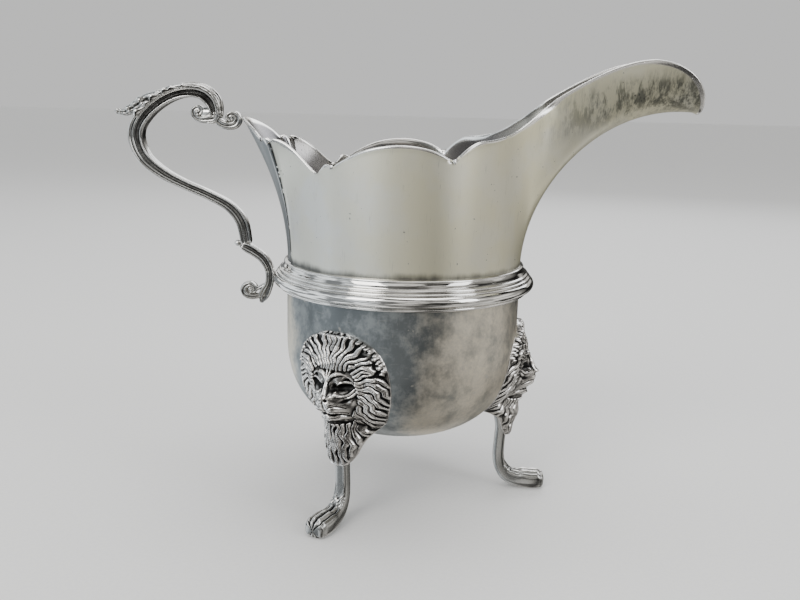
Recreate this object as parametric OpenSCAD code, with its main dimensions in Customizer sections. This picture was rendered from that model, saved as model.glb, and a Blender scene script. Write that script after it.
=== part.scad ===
// Silver sauce boat on three lion-mask feet, with a cast scroll handle.
// Millimetres. +Z is up, the spout points along +X and the handle along -X.
// The round body stands on the Z axis, and the three paws rest on z = 0.

/* [Body] */
// Outer radius of the round body
body_r = 38.4; // [37.6:0.1:39]
// Thickness of the raised sheet
sheet_t = 0.9; // [0.7:0.1:1.2]
// Height where the rounded bottom meets the straight side
bowl_turn_z = 54.4; // [52:0.2:57]
// Depth of the rounded bottom below that height
bowl_drop = 32.9; // [30:0.1:35]
// Fullness of the rounded bottom, where 2 is an ellipse
bowl_fullness = 2.43; // [2.2:0.01:2.7]
// Height of the joint between bowl and upper wall, behind the girdle
joint_z = 75; // [74:0.5:77]

/* [Girdle] */
// Height of the largest bead of the girdle
bead_z = 73.2; // [73:0.1:74]
// Radius of the girdle over that bead
bead_reach = 43; // [42.6:0.1:43.2]
// Radius of the bead's own section
bead_r = 2.3; // [2:0.1:2.6]

/* [Spout and back] */
// Height where the wall starts to flare out
flare_z = 78.3; // [78:0.1:79]
// How far the floor of the spout reaches from the axis
spout_reach = 92.6; // [90:0.2:94]
// Height of the spout's floor at its tip
spout_floor_z = 128.2; // [126:0.2:130]
// Highest point of the spout's rim
spout_top_z = 144.3; // [142:0.1:146]
// Half of the spout's width at its highest point
spout_half_w = 9.3; // [8:0.1:11]
// How far the peak at the back reaches from the axis
peak_reach = 52.8; // [52:0.1:53]
// Height of the peak at the back
peak_z = 123.7; // [122:0.1:125]

/* [Feet] */
// Angle between two feet
foot_step = 120; // [118:1:122]
// Half of the width of a leg
leg_half_w = 1.8; // [1.4:0.1:2.8]
// Half of the width of a paw
paw_half_w = 3.7; // [3.2:0.1:5]
// Half of the width of a lion mask
mask_half_w = 16.6; // [14:0.2:17]

/* [Hidden] */
round_fn = 64;
contact_gap = 0.04;
silver = [0.78, 0.78, 0.76];
silver_bright = [0.88, 0.88, 0.87];
silver_dark = [0.5, 0.52, 0.54];

// ---------------------------------------------------------------- curves

function mix(a, b, t) = a + (b - a) * t;

// Point on a cubic curve with four control points
function cubic(p, t) =
    pow(1 - t, 3) * p[0] + 3 * t * pow(1 - t, 2) * p[1] + 3 * t * t * (1 - t) * p[2] + pow(t, 3) * p[3];

// Point given by its azimuth from the spout, its radius and its height
function polar(a, r, z) = [r * cos(a), r * sin(a), z];

function azimuth(p) = atan2(p.y, p.x);
function reach(p) = norm([p.x, p.y]);

// Smooth route through a list of points, with whole numbers of t at the points
function route(p, t) =
    let (n = len(p) - 1, i = min(floor(t), n - 1), u = t - i,
         a = p[max(i - 1, 0)], b = p[i], c = p[i + 1], d = p[min(i + 2, n)])
    0.5 * (2 * b + (c - a) * u + (2 * a - 5 * b + 4 * c - d) * u * u
           + (3 * b - a - 3 * c + d) * u * u * u);

// Triangles of a grid of points with the given columns and rows, from index o
function grid_faces(cols, rows, o = 0, flip = false) =
    [for (i = [0 : cols - 2], j = [0 : rows - 2], h = [0, 1])
        let (a = o + i * rows + j, b = a + rows,
             f = h == 0 ? [a, a + 1, b + 1] : [a, b + 1, b])
        flip ? [f[2], f[1], f[0]] : f];

// ------------------------------------------------------------------ bowl

// Radius of the bowl's outer face at height z
function bowl_radius(z) =
    z >= bowl_turn_z ? body_r
    : body_r * pow(1 - pow(min(1, (bowl_turn_z - z) / bowl_drop), bowl_fullness), 1 / bowl_fullness);

// Half section of a bowl whose face is shrunk by t
function bowl_curve(t, steps = 16) =
    [for (i = [0 : steps])
        let (a = 90 * i / steps)
        [(body_r - t) * pow(sin(a), 2 / bowl_fullness),
         bowl_turn_z - (bowl_drop - t) * pow(cos(a), 2 / bowl_fullness)]];

module bowl_blank(grow = 0) {
    rotate_extrude($fn = round_fn)
        polygon(concat(bowl_curve(-grow), [[body_r + grow, joint_z], [0, joint_z]]));
}

module bowl() {
    inner = bowl_curve(sheet_t);
    color(silver_dark)
    rotate_extrude($fn = round_fn)
        polygon(concat(
            bowl_curve(0),
            [[body_r, joint_z], [body_r - sheet_t, joint_z]],
            [for (i = [len(inner) - 1 : -1 : 0]) inner[i]]));
}

// ---------------------------------------------------------------- girdle

module girdle_section() {
    // Reeds above the bead: how far each stands out, its height and its radius
    reeds = [[1.25, 3.0, 0.85], [0.75, 4.4, 0.7], [0.35, 5.5, 0.55]];
    difference() {
        union() {
            translate([bead_reach - bead_r, bead_z]) circle(r = bead_r, $fn = 32);
            polygon([[body_r - 1, bead_z - 3.6], [body_r + 0.9, bead_z - 3.4], [body_r + 2.6, bead_z],
                     [body_r + 1.6, bead_z + 2.6], [body_r + 0.5, bead_z + 5.6], [body_r - 1, bead_z + 6.2]]);
            translate([body_r + 1.2, bead_z - 2.6]) circle(r = 0.8, $fn = 24);
            for (r = reeds) translate([body_r + r[0], bead_z + r[1]]) circle(r = r[2], $fn = 24);
        }
        translate([body_r - 6, bead_z - 10]) square([6, 20]);
    }
}

module girdle() {
    color(silver_bright)
    rotate_extrude($fn = round_fn) girdle_section();
}

// ------------------------------------------------ upper wall and back panel

// Corners of one half of the rim, from the tip of the spout to the peak
rim_tip = [spout_reach, 0, spout_floor_z];
rim_top = [76.2, spout_half_w, spout_top_z];
rim_slope = [46, 11, 132];
rim_shoulder = [22.5, 30.5, 118.9];
rim_notch = polar(68.7, body_r, 112.6);
rim_low = polar(123.5, 39, 110.1);
rim_tooth = polar(126.8, 39, 111.3);
rim_gap = polar(132.5, 38.8, 108.5);
rim_corner = polar(152.3, 45.4, 117.9);
rim_seam = polar(154, 46, 116.3);
rim_bump = polar(155.6, 47, 118);
rim_back = polar(157.2, 48, 116.9);
rim_peak = [-peak_reach, 0, peak_z];

// Stretches of the rim: control points and how many steps each has
rim_runs = [
    [[rim_tip, [94, 5.2, 128.4], [94.9, 9.2, 143], rim_top], 8],
    [[rim_top, [66, 9.4, spout_top_z], [56, 9.7, 137.8], rim_slope], 9],
    [[rim_slope, [39, 12.3, 126.6], [33, 22.5, 118.8], rim_shoulder], 7],
    [[rim_shoulder, [19.5, 32.6, 118.9], [16.5, 34.2, 116.2], rim_notch], 5],
    [[rim_notch, polar(80, 39.2, 119.2), polar(107, 39.5, 119.4), rim_low], 10],
    [[rim_low, polar(124.6, 39, 111.2), polar(125.6, 39, 111.3), rim_tooth], 2],
    [[rim_tooth, polar(128.5, 39, 111.2), polar(131, 38.8, 108.9), rim_gap], 3],
    [[rim_gap, polar(138, 39, 109.3), polar(147, 41, 117.8), rim_corner], 7],
    [[rim_corner, polar(153.2, 45.8, 117.8), polar(153.8, 45.9, 116.8), rim_seam], 2],
    [[rim_seam, polar(154.4, 46.2, 117.6), polar(155, 46.6, 118.1), rim_bump], 2],
    [[rim_bump, polar(156.3, 47.4, 118), polar(156.9, 47.8, 117.2), rim_back], 2],
    [[rim_back, polar(160, 49.8, 121.2), [-peak_reach, 8, peak_z], rim_peak], 6]];
half_rim = concat(
    [for (run = rim_runs, i = [0 : run[1] - 1]) cubic(run[0], i / run[1])],
    [rim_peak]);
half_count = len(half_rim) - 1;
seam_steps = 8; // columns of the back panel on each side of the peak

// The whole rim, from the peak round by way of the spout to the peak again
rim = concat(
    [for (i = [half_count : -1 : 1]) [half_rim[i].x, -half_rim[i].y, half_rim[i].z]],
    half_rim);

// Profiles of the flare below the spout and at the back: radius and height
spout_flare = [[body_r, flare_z], [body_r, flare_z + 28],
               [spout_reach - 28.5, spout_floor_z + 4], [spout_reach, spout_floor_z]];
back_flare = [[body_r, flare_z], [body_r, flare_z + 18.3],
              [peak_reach - 7.3, peak_z - 12.7], [peak_reach, peak_z]];

// How late the wall leaves the flare to climb to the rim, by azimuth
climb_table = [[0, 6], [3, 5], [5, 4.2], [5.6, 3.4], [6.2, 2.7], [7, 2.3], [9, 2], [13, 1.6],
               [20, 1.3], [30, 1.1], [45, 1], [125, 1], [140, 1.1], [160, 1.2], [180, 1]];
// Azimuth at the foot of the wall for an azimuth at the rim
root_table = [[0, 0], [7, 12], [10.7, 17], [18.6, 25], [36, 41], [68.7, 71],
              [120, 120], [154, 157.5], [157.2, 160], [180, 180]];
wall_steps = 12;

function flare_point(p, s) = s <= 1 ? cubic(p, s) : p[3] + 3 * (s - 1) * (p[3] - p[2]);

// Where along a flare it reaches radius r
function flare_reach(p, r, lo = 0, hi = 1.3, n = 22) =
    let (m = (lo + hi) / 2)
    n == 0 ? m
    : flare_point(p, m)[0] < r ? flare_reach(p, r, m, hi, n - 1)
    : flare_reach(p, r, lo, m, n - 1);

// One line up the outside of the wall, ending at the rim point q
function wall_line(q) =
    let (a = azimuth(q), side = a < 0 ? -1 : 1,
         p = abs(a) < 90 ? spout_flare : back_flare,
         s = flare_reach(p, reach(q)),
         rise = q.z - flare_point(p, s)[1],
         power = lookup(abs(a), climb_table),
         root = side * lookup(abs(a), root_table))
    concat(
        [polar(root, body_r, joint_z)],
        [for (j = [0 : wall_steps])
            let (t = j / wall_steps, f = flare_point(p, s * t))
            polar(mix(root, a, t), f[0], f[1] + rise * pow(t, power))]);

wall_outer = [for (q = rim) wall_line(q)];
wall_cols = len(wall_outer);
wall_rows = wall_steps + 2;

// The inner face: every point moved in along the wall's normal
wall_inner = [for (i = [0 : wall_cols - 1])
    let (prev = wall_outer[i == 0 ? wall_cols - 2 : i - 1],
         next = wall_outer[i == wall_cols - 1 ? 1 : i + 1])
    [for (j = [0 : wall_rows - 1])
        let (up = wall_outer[i][min(j + 1, wall_rows - 1)] - wall_outer[i][max(j - 1, 0)],
             n = cross(next[j] - prev[j], up))
        wall_outer[i][j] - sheet_t * (j == 0 ? [n.x, n.y, 0] / norm([n.x, n.y]) : n / norm(n))]];

// A closed piece of sheet between an outer and an inner grid
module sheet_piece(outer, inner) {
    cols = len(outer);
    rows = len(outer[0]);
    o = cols * rows;
    points = concat([for (c = outer) each c], [for (c = inner) each c]);
    rim_faces = [for (i = [0 : cols - 2], j = [0, rows - 1])
        let (a = i * rows + j, b = a + rows)
        each j == 0 ? [[a, b, b + o], [a, b + o, a + o]] : [[a, b + o, b], [a, a + o, b + o]]];
    end_faces = [for (j = [0 : rows - 2], i = [0, cols - 1])
        let (a = i * rows + j, b = a + 1)
        each i == 0 ? [[a, b + o, b], [a, a + o, b + o]] : [[a, b, b + o], [a, b + o, a + o]]];
    polyhedron(points, concat(
        grid_faces(cols, rows), grid_faces(cols, rows, o, true), rim_faces, end_faces), convexity = 8);
}

module upper_wall() {
    keep = [seam_steps : wall_cols - 1 - seam_steps];
    color(silver)
    sheet_piece([for (i = keep) wall_outer[i]], [for (i = keep) wall_inner[i]]);
}

module back_panel() {
    keep = concat([for (i = [wall_cols - 1 - seam_steps : wall_cols - 1]) i],
                  [for (i = [1 : seam_steps]) i]);
    color(silver)
    sheet_piece([for (i = keep) wall_outer[i]], [for (i = keep) wall_inner[i]]);
}

// ---------------------------------------------------------------- handle

// Each stop on a route is [x, z, half thickness, half width]
scroll_stops = [
    [-64.4, 122.9, 0.9, 2.5], [-62.8, 122.98, 1.1, 2.7], [-61.5, 125.2, 1.6, 3.0],
    [-62.3, 128.8, 2.1, 3.3], [-65.7, 131.9, 2.2, 3.5],
    [-71, 132.2, 2.2, 3.6], [-77, 130, 2.3, 3.6], [-83, 125.6, 2.6, 3.5], [-86.6, 120.4, 3.0, 3.3],
    [-87, 115.4, 2.9, 3.1], [-84.4, 109.9, 2.7, 2.9], [-79, 105.3, 2.2, 2.7], [-72, 101.8, 1.7, 2.5],
    [-64.5, 98.7, 1.5, 2.3], [-58.2, 95.3, 1.5, 2.2], [-54.3, 90.6, 1.6, 2.1], [-52.9, 84.6, 1.6, 2.0]];
leaf_first_stop = 2;
leaf_last_stop = 7.5;
leaf_tip_stops = [[-88.9, 124.4, 1.1, 2.2], [-91.2, 124.1, 0.8, 1.5], [-93.2, 124.9, 0.35, 0.7]];
curl_stops = [
    [-66.6, 126.6, 0.4, 2.0], [-68, 125.9, 0.6, 2.2], [-68.1, 124, 0.7, 2.3], [-66.4, 122.8, 0.8, 2.4],
    [-64.4, 122.9, 0.9, 2.5]];
neck_stops = [
    [-60.3, 124.9, 0.7, 2.2], [-60.1, 122.8, 1.0, 2.3], [-58.3, 121.2, 1.1, 2.4], [-55.8, 121.1, 1.1, 2.4],
    [-54.2, 122.6, 1.1, 2.4], [-54.2, 124.6, 1.0, 2.4], [-55.7, 125.6, 0.8, 2.2], [-57.1, 124.9, 0.5, 1.8]];
lower_stops = [
    [-52.9, 84.6, 1.6, 2.0], [-52.446, 82.652, 1.5, 2.0], [-50.2, 80.9, 1.5, 2.1],
    [-47.2, 78.6, 1.5, 2.1], [-45, 75.4, 1.3, 2.0], [-44.35, 72.4, 1.25, 1.9],
    [-44.7, 69.4, 1.2, 1.8], [-45.8, 66.2, 1.1, 1.5], [-46.9, 63.4, 0.25, 0.5]];
flat_at = 0.45; // share of the half thickness where the scroll is flat and the leaf sits

function heading(s, t) =
    let (e = 0.01, n = len(s) - 1, d = route(s, min(t + e, n)) - route(s, max(t - e, 0)))
    [d[0], d[1]] / norm([d[0], d[1]]);

// One ring of a bar: unit points [across, along y] set at the stop t
function ring(s, t, unit) =
    let (c = route(s, t), h = heading(s, t), n = [-h[1], h[0]])
    [for (u = unit) [c[0] + n[0] * c[2] * u[0], c[3] * u[1], c[1] + n[1] * c[2] * u[0]]];

function round_unit(sides = 12) = [for (k = [0 : sides - 1]) [sin(360 * k / sides), cos(360 * k / sides)]];

// The scroll's unit section: round below, flat where the leaf sits
function flat_unit(sides = 11, a0 = asin(flat_at)) =
    [for (k = [0 : sides - 1]) let (a = a0 - (180 + 2 * a0) * k / (sides - 1)) [-sin(a), cos(a)]];

// The leaf's unit section: flat below, rising to a ridge
function leaf_unit(crown = 1.15, sides = 7, a0 = asin(flat_at)) =
    [for (k = [0 : sides - 1])
        let (a = 180 - 180 * k / (sides - 1))
        [-(flat_at + (crown - flat_at) * sin(a)), cos(a0) * cos(a)]];

// A closed bar through a list of rings
module bar(rings) {
    sides = len(rings[0]);
    last = len(rings) - 1;
    points = [for (r = rings) each r];
    skin = [for (i = [0 : last - 1], k = [0 : sides - 1])
        let (a = i * sides + k, b = i * sides + (k + 1) % sides)
        each [[a, b, b + sides], [a, b + sides, a + sides]]];
    caps = [for (k = [1 : sides - 2])
        each [[0, k + 1, k], [last * sides, last * sides + k, last * sides + k + 1]]];
    polyhedron(points, concat(skin, caps), convexity = 6);
}

function rings_along(s, unit, t0, t1, steps) =
    [for (i = [0 : steps]) ring(s, mix(t0, t1, i / steps), unit)];

module handle_scroll() {
    color(silver_bright)
    bar(rings_along(scroll_stops, flat_unit(), 0, len(scroll_stops) - 1, 48));
}

module handle_leaf() {
    on_scroll = rings_along(scroll_stops, leaf_unit(), leaf_first_stop, leaf_last_stop, 16);
    last = route(scroll_stops, leaf_last_stop);
    tip = concat([[last[0] - 0.6, last[1] + 1.6, 1.4, 3]], leaf_tip_stops);
    color(silver_bright)
    bar(concat(on_scroll, rings_along(tip, leaf_unit(), 1, 3, 6)));
}

module handle_curl() {
    color(silver_bright)
    bar(rings_along(curl_stops, flat_unit(), 0, len(curl_stops) - 1, 12));
}

module handle_neck() {
    color(silver_bright)
    bar(rings_along(neck_stops, round_unit(), 0, len(neck_stops) - 1, 20));
}

module handle_lower_scroll() {
    color(silver_bright)
    bar(rings_along(lower_stops, round_unit(), 0, len(lower_stops) - 1, 20));
}

module handle_bud() {
    color(silver_bright)
    translate([-55.85, 0, 84.2]) sphere(r = 1.3, $fn = 24);
}

module handle_terminal() {
    color(silver_bright)
    union() {
        translate([-51.6, 0, 67.3]) rotate([90, 0, 0]) cylinder(r = 2.8, h = 4, center = true, $fn = 32);
        translate([-50, 0, 66]) rotate([0, 90, 0]) cylinder(r = 0.9, h = 2.75, $fn = 24);
    }
}

// ------------------------------------------------------------------ feet

// Places a foot or mask, which is made under the spout, at its own leg
module at_leg(i) {
    rotate([0, 0, i * foot_step]) children();
}

// Side view of a leg and paw: radius from the body's axis, and height
leg_side = [
    [29.2, 28.5], [31.8, 26.2], [33.2, 24], [33.4, 19.6], [32.9, 16], [32.7, 11.5], [33.1, 7.5],
    [34, 5.3], [36.3, 2.4], [39, 0.6], [41, 0], [50, 0], [50.7, 1.4], [50.7, 3.1], [49.9, 4.7],
    [48.2, 5.8], [45.4, 6.1], [41.2, 6], [38.4, 7], [37, 9.6], [36.4, 13], [36.5, 27],
    [33.4, 35.2], [30, 36]];
paw_start = 38;

module foot() {
    difference() {
        intersection() {
            rotate([90, 0, 0]) translate([0, 0, -paw_half_w])
                linear_extrude(2 * paw_half_w) polygon(leg_side);
            union() {
                translate([0, -leg_half_w, -1]) cube([paw_start + 4, 2 * leg_half_w, 60]);
                translate([paw_start + paw_half_w, 0, -1]) cylinder(r = paw_half_w, h = 11, $fn = 32);
                translate([paw_start + paw_half_w, -paw_half_w, -1]) cube([6, 2 * paw_half_w, 11]);
                translate([48.2, 0, -1]) cylinder(r = paw_half_w, h = 11, $fn = 32);
            }
        }
        bowl_blank(contact_gap);
        for (s = [-1, 0, 1])
            translate([53.4, s * 1.9, 5.5]) rotate([0, -68, s * 4]) cylinder(r = 0.35, h = 10, center = true, $fn = 16);
    }
}

module foot_front() { color(silver) at_leg(0) foot(); }
module foot_left() { color(silver) at_leg(1) foot(); }
module foot_right() { color(silver) at_leg(-1) foot(); }

// ----------------------------------------------------------------- masks

mask_mid_z = 44;
mask_up = 17;
mask_down = 25.6;
mask_rings = 9;
mask_spokes = 28;
// Reach of the face along its middle line, by height
face_table = [[18, 37.2], [22.8, 38.4], [27.3, 39.8], [31.2, 40], [33, 42.1], [36.5, 43.8], [38.7, 45.1],
              [42.2, 46.6], [45.6, 44.9], [47.7, 43.6], [50.6, 42.2], [53.6, 41.8], [57.4, 40.6], [61, 39.4]];
// Reach of the mask's back below the bowl, where the leg stands behind it
behind_table = [[18, 36.6], [27, 36.6], [35.2, 33.5], [36, 0]];

function mask_back(y, z) =
    let (r = bowl_radius(z) + 2 * contact_gap)
    max(sqrt(max(0, r * r - y * y)), lookup(z, behind_table) + contact_gap);

// Outline of the mask: full above, drawn in to the beard below
function mask_outline(a) =
    let (s = sin(a))
    [mask_half_w * cos(a) * (s < 0 ? 1 - 0.5 * s * s : 1), s > 0 ? mask_up * s : mask_down * s];

function mask_relief(y, z, share, a) =
    let (mid = lookup(z, face_table) - mask_back(0, z),
         face = mid * exp(-pow(y / 6.5, 2)),
         mane = 2.6 * (1 - pow(share, 6)) + 0.5 * sin(14 * a) * share * (1 - pow(share, 8)))
    0.5 + max(face, mane);

function mask_grid(front) =
    [for (k = [0 : mask_spokes - 1])
        let (a = 360 * k / mask_spokes, e = mask_outline(a))
        [for (j = [1 : mask_rings])
            let (share = j / mask_rings, y = e[0] * share, z = mask_mid_z + e[1] * share)
            [mask_back(y, z) + (front ? mask_relief(y, z, share, a) : 0), y, z]]];

module mask() {
    front = mask_grid(true);
    back = mask_grid(false);
    n = mask_spokes * mask_rings;
    back_mid = mask_back(0, mask_mid_z);
    points = concat([for (c = front) each c], [for (c = back) each c],
        [[back_mid + mask_relief(0, mask_mid_z, 0, 0), 0, mask_mid_z], [back_mid, 0, mask_mid_z]]);
    skin = [for (k = [0 : mask_spokes - 1], j = [0 : mask_rings - 2])
        let (a = k * mask_rings + j, b = ((k + 1) % mask_spokes) * mask_rings + j)
        each [[a, b, b + 1], [a, b + 1, a + 1], [a + n, b + 1 + n, b + n], [a + n, a + 1 + n, b + 1 + n]]];
    fans = [for (k = [0 : mask_spokes - 1])
        let (a = k * mask_rings, b = ((k + 1) % mask_spokes) * mask_rings,
             c = a + mask_rings - 1, d = b + mask_rings - 1)
        each [[2 * n, b, a], [2 * n + 1, a + n, b + n], [c, d, d + n], [c, d + n, c + n]]];
    polyhedron(points, concat(skin, fans), convexity = 6);
}

module mask_front() { color(silver_dark) at_leg(0) mask(); }
module mask_left() { color(silver_dark) at_leg(1) mask(); }
module mask_right() { color(silver_dark) at_leg(-1) mask(); }

bowl();
girdle();
upper_wall();
back_panel();
handle_scroll();
handle_leaf();
handle_curl();
handle_neck();
handle_bud();
handle_lower_scroll();
handle_terminal();
mask_front();
mask_left();
mask_right();
foot_front();
foot_left();
foot_right();
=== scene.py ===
"""Looks of a silver sauce boat with a scroll handle and three lion-mask feet.

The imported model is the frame: each visible piece here stands for one of its nodes.
Sizes are kept in millimetres, and MM turns them into the scene's metres.
"""

import logging
import math
from dataclasses import dataclass, field
from enum import Enum
from typing import Any, Callable, Sequence

import bmesh
import bpy
import numpy as np
from mathutils import Matrix, Vector


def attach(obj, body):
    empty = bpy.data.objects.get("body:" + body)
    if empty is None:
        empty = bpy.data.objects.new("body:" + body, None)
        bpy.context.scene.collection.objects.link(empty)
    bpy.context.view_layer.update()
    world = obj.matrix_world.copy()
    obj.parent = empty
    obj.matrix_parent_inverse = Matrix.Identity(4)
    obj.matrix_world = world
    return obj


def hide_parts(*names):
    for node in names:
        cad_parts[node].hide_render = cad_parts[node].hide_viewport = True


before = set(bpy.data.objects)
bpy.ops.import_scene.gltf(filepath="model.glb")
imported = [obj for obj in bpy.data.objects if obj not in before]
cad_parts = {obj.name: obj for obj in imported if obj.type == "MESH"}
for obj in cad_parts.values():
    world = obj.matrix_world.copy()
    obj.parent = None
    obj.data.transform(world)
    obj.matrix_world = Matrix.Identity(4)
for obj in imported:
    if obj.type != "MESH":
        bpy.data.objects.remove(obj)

MM = 0.001
# points and edges closer than this are one, in metres
SAME_POINT = 2e-6
SAME_EDGE = 1e-7
SAME_TURNED = 1e-6
LOG = logging.getLogger("sauce_boat")
Array = np.ndarray
Place = Callable[[Array, Array], Array]


class Slot(Enum):
    """Material slots of the record."""

    SATIN = "satin_silver"
    TARNISHED = "tarnished_silver"
    BRIGHT = "bright_silver"
    OXIDISED = "oxidised_silver"
    CAST = "cast_silver"


# ------------------------------------------------------------------ curves


def cubic(points: Sequence[Sequence[float]], t: Array) -> Array:
    """Points on a cubic curve.

    Args:
        points: Four control points.
        t: Places along the curve, from 0 to 1.

    Returns:
        One row per value of t.
    """
    a, b, c, d = (np.asarray(p, float) for p in points)
    t = np.asarray(t, float)[..., None]
    return (1 - t) ** 3 * a + 3 * t * (1 - t) ** 2 * b + 3 * t * t * (1 - t) * c + t**3 * d


def route(stops: Sequence[Sequence[float]], t: Array) -> Array:
    """A smooth route through stops, which it meets at whole numbers of t.

    Args:
        stops: The stops, any number of values each.
        t: Places along the route, from 0 to the number of stops less one.

    Returns:
        One row per value of t.
    """
    s = np.asarray(stops, float)
    last = len(s) - 1
    t = np.clip(np.asarray(t, float), 0, last)
    i = np.minimum(np.floor(t).astype(int), last - 1)
    u = (t - i)[..., None]
    a, b = s[np.maximum(i - 1, 0)], s[i]
    c, d = s[i + 1], s[np.minimum(i + 2, last)]
    return 0.5 * (
        2 * b + (c - a) * u + (2 * a - 5 * b + 4 * c - d) * u**2 + (3 * b - a - 3 * c + d) * u**3
    )


def table(keys: Sequence[tuple[float, float]], x: Array) -> Array:
    """Straight-line look-up of x in a table of (x, value) keys."""
    points = np.asarray(keys, float)
    return np.interp(x, points[:, 0], points[:, 1])


def smooth(low: float, high: float, x: Array) -> Array:
    """Smooth step from 0 at low to 1 at high."""
    t = np.clip((np.asarray(x, float) - low) / (high - low), 0, 1)
    return t * t * (3 - 2 * t)


def polar(azimuth: float, radius: float, z: float) -> tuple[float, float, float]:
    """A point from its azimuth in degrees off +X, its radius and its height."""
    a = math.radians(azimuth)
    return radius * math.cos(a), radius * math.sin(a), z


def rows_of(points: Array) -> Array:
    """Unit vectors of rows."""
    return points / np.maximum(np.linalg.norm(points, axis=-1, keepdims=True), 1e-12)


def at_azimuth(x: Array, y: Array, z: Array, azimuth: float) -> Array:
    """Points turned about Z.

    Args:
        x: Positions outward, along the azimuth.
        y: Positions across it.
        z: Heights.
        azimuth: Angle off +X in degrees.

    Returns:
        One row a point.
    """
    a = math.radians(azimuth)
    return np.stack([x * math.cos(a) - y * math.sin(a), x * math.sin(a) + y * math.cos(a), z], 1)


# ------------------------------------------------------------ shader wiring


class Signal:
    """A number socket whose arithmetic adds Math nodes."""

    def __init__(self, wires: "Wires", socket: bpy.types.NodeSocket) -> None:
        """Keeps the socket and the node tree it is in."""
        self.wires = wires
        self.socket = socket

    def math(self, operation: str, *others: "Signal | float") -> "Signal":
        """Adds a Math node fed by this signal and others."""
        inputs = {i: v for i, v in enumerate((self, *others))}
        return self.wires.add("ShaderNodeMath", {"operation": operation}, inputs).out(0)

    def __add__(self, other: "Signal | float") -> "Signal":
        """Sum."""
        return self.math("ADD", other)

    __radd__ = __add__

    def __mul__(self, other: "Signal | float") -> "Signal":
        """Product."""
        return self.math("MULTIPLY", other)

    __rmul__ = __mul__

    def __sub__(self, other: "Signal | float") -> "Signal":
        """Difference."""
        return self.math("SUBTRACT", other)

    def __rsub__(self, other: float) -> "Signal":
        """Reflected difference."""
        return self.wires.value_math("SUBTRACT", other, self)

    def clamp(self) -> "Signal":
        """The signal held between 0 and 1."""
        return self.math("MINIMUM", 1.0).math("MAXIMUM", 0.0)

    def ramp(self, low: float, high: float) -> "Signal":
        """Smooth step of the signal from low to high."""
        node = self.wires.add(
            "ShaderNodeMapRange",
            {"interpolation_type": "SMOOTHSTEP"},
            {"Value": self, "From Min": low, "From Max": high},
        )
        return node.out("Result")


class Placed:
    """A node that was added, and its outputs."""

    def __init__(self, wires: "Wires", node: bpy.types.Node) -> None:
        """Keeps the node."""
        self.wires = wires
        self.node = node

    def out(self, name: str | int) -> Signal:
        """One output as a signal."""
        return Signal(self.wires, self.node.outputs[name])


class Wires:
    """The node tree of one material, or of the world."""

    def __init__(self, owner: bpy.types.Material | bpy.types.World) -> None:
        """Empties the owner's tree."""
        self.owner = owner
        owner.use_nodes = True
        self.tree = owner.node_tree
        self.tree.nodes.clear()

    @classmethod
    def material(cls, name: str) -> "Wires":
        """Starts a new material."""
        return cls(bpy.data.materials.new(name))

    def add(
        self, kind: str, settings: dict[str, Any] | None = None, inputs: dict[Any, Any] | None = None
    ) -> Placed:
        """Adds a node.

        Args:
            kind: Type name of the node.
            settings: Properties of the node, set first.
            inputs: Values or signals, by socket name or number.

        Returns:
            The node.
        """
        node = self.tree.nodes.new(kind)
        for key, value in (settings or {}).items():
            setattr(node, key, value)
        for key, value in (inputs or {}).items():
            socket = node.inputs[key]
            if isinstance(value, Signal):
                self.tree.links.new(value.socket, socket)
            else:
                socket.default_value = value
        return Placed(self, node)

    def value_math(self, operation: str, first: float, second: Signal) -> Signal:
        """A Math node whose first input is a plain number."""
        return self.add("ShaderNodeMath", {"operation": operation}, {0: first, 1: second}).out(0)

    def mix(self, amount: Signal, first: Any, second: Any) -> Signal:
        """Colour that goes from one to another.

        Args:
            amount: Share of the second colour.
            first: Colour at 0, as numbers or a signal.
            second: Colour at 1, as numbers or a signal.

        Returns:
            The mixed colour.
        """
        first, second = (v if isinstance(v, Signal) else (*v, 1) for v in (first, second))
        node = self.add(
            "ShaderNodeMix", {"data_type": "RGBA"}, {"Factor": amount, 6: first, 7: second}
        )
        return node.out(2)

    def space(self, stretch: Sequence[float] = (1, 1, 1), turn: float = 0.0) -> Signal:
        """Object coordinates in millimetres, stretched and turned about Z.

        Args:
            stretch: Factor on each axis.
            turn: Angle about Z in degrees.

        Returns:
            The vector.
        """
        coordinates = self.add("ShaderNodeTexCoord").out("Object")
        scale = tuple(s / MM for s in stretch)
        inputs = {"Vector": coordinates, "Scale": scale, "Rotation": (0, 0, math.radians(turn))}
        return self.add("ShaderNodeMapping", {}, inputs).out("Vector")

    def noise(self, where: Signal, size: float, detail: float = 4.0, rough: float = 0.55) -> Signal:
        """Cloudy noise whose blobs are about size millimetres."""
        inputs = {"Vector": where, "Scale": 1 / size, "Detail": detail, "Roughness": rough}
        return self.add("ShaderNodeTexNoise", {}, inputs).out("Fac")

    def attribute(self, name: str) -> Signal:
        """A float attribute of the mesh."""
        return self.add("ShaderNodeAttribute", {"attribute_name": name}).out("Fac")

    def finish(
        self, colour: Signal, roughness: Signal, height: Signal, depth: float, metallic: float = 1.0
    ) -> bpy.types.Material:
        """Adds the shader and the output.

        Args:
            colour: Base colour.
            roughness: Roughness.
            height: Height of the surface, from 0 to 1.
            depth: What a height of 1 is in millimetres.
            metallic: The same all over.

        Returns:
            The material.
        """
        bump = self.add(
            "ShaderNodeBump", {}, {"Strength": 1.0, "Distance": depth * MM, "Height": height}
        )
        shader = self.add(
            "ShaderNodeBsdfPrincipled",
            {},
            {
                "Base Color": colour,
                "Roughness": roughness,
                "Metallic": metallic,
                "Normal": bump.out("Normal"),
            },
        )
        self.add("ShaderNodeOutputMaterial", {}, {"Surface": shader.out(0)})
        return self.owner


# ---------------------------------------------------------------- finishes


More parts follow.
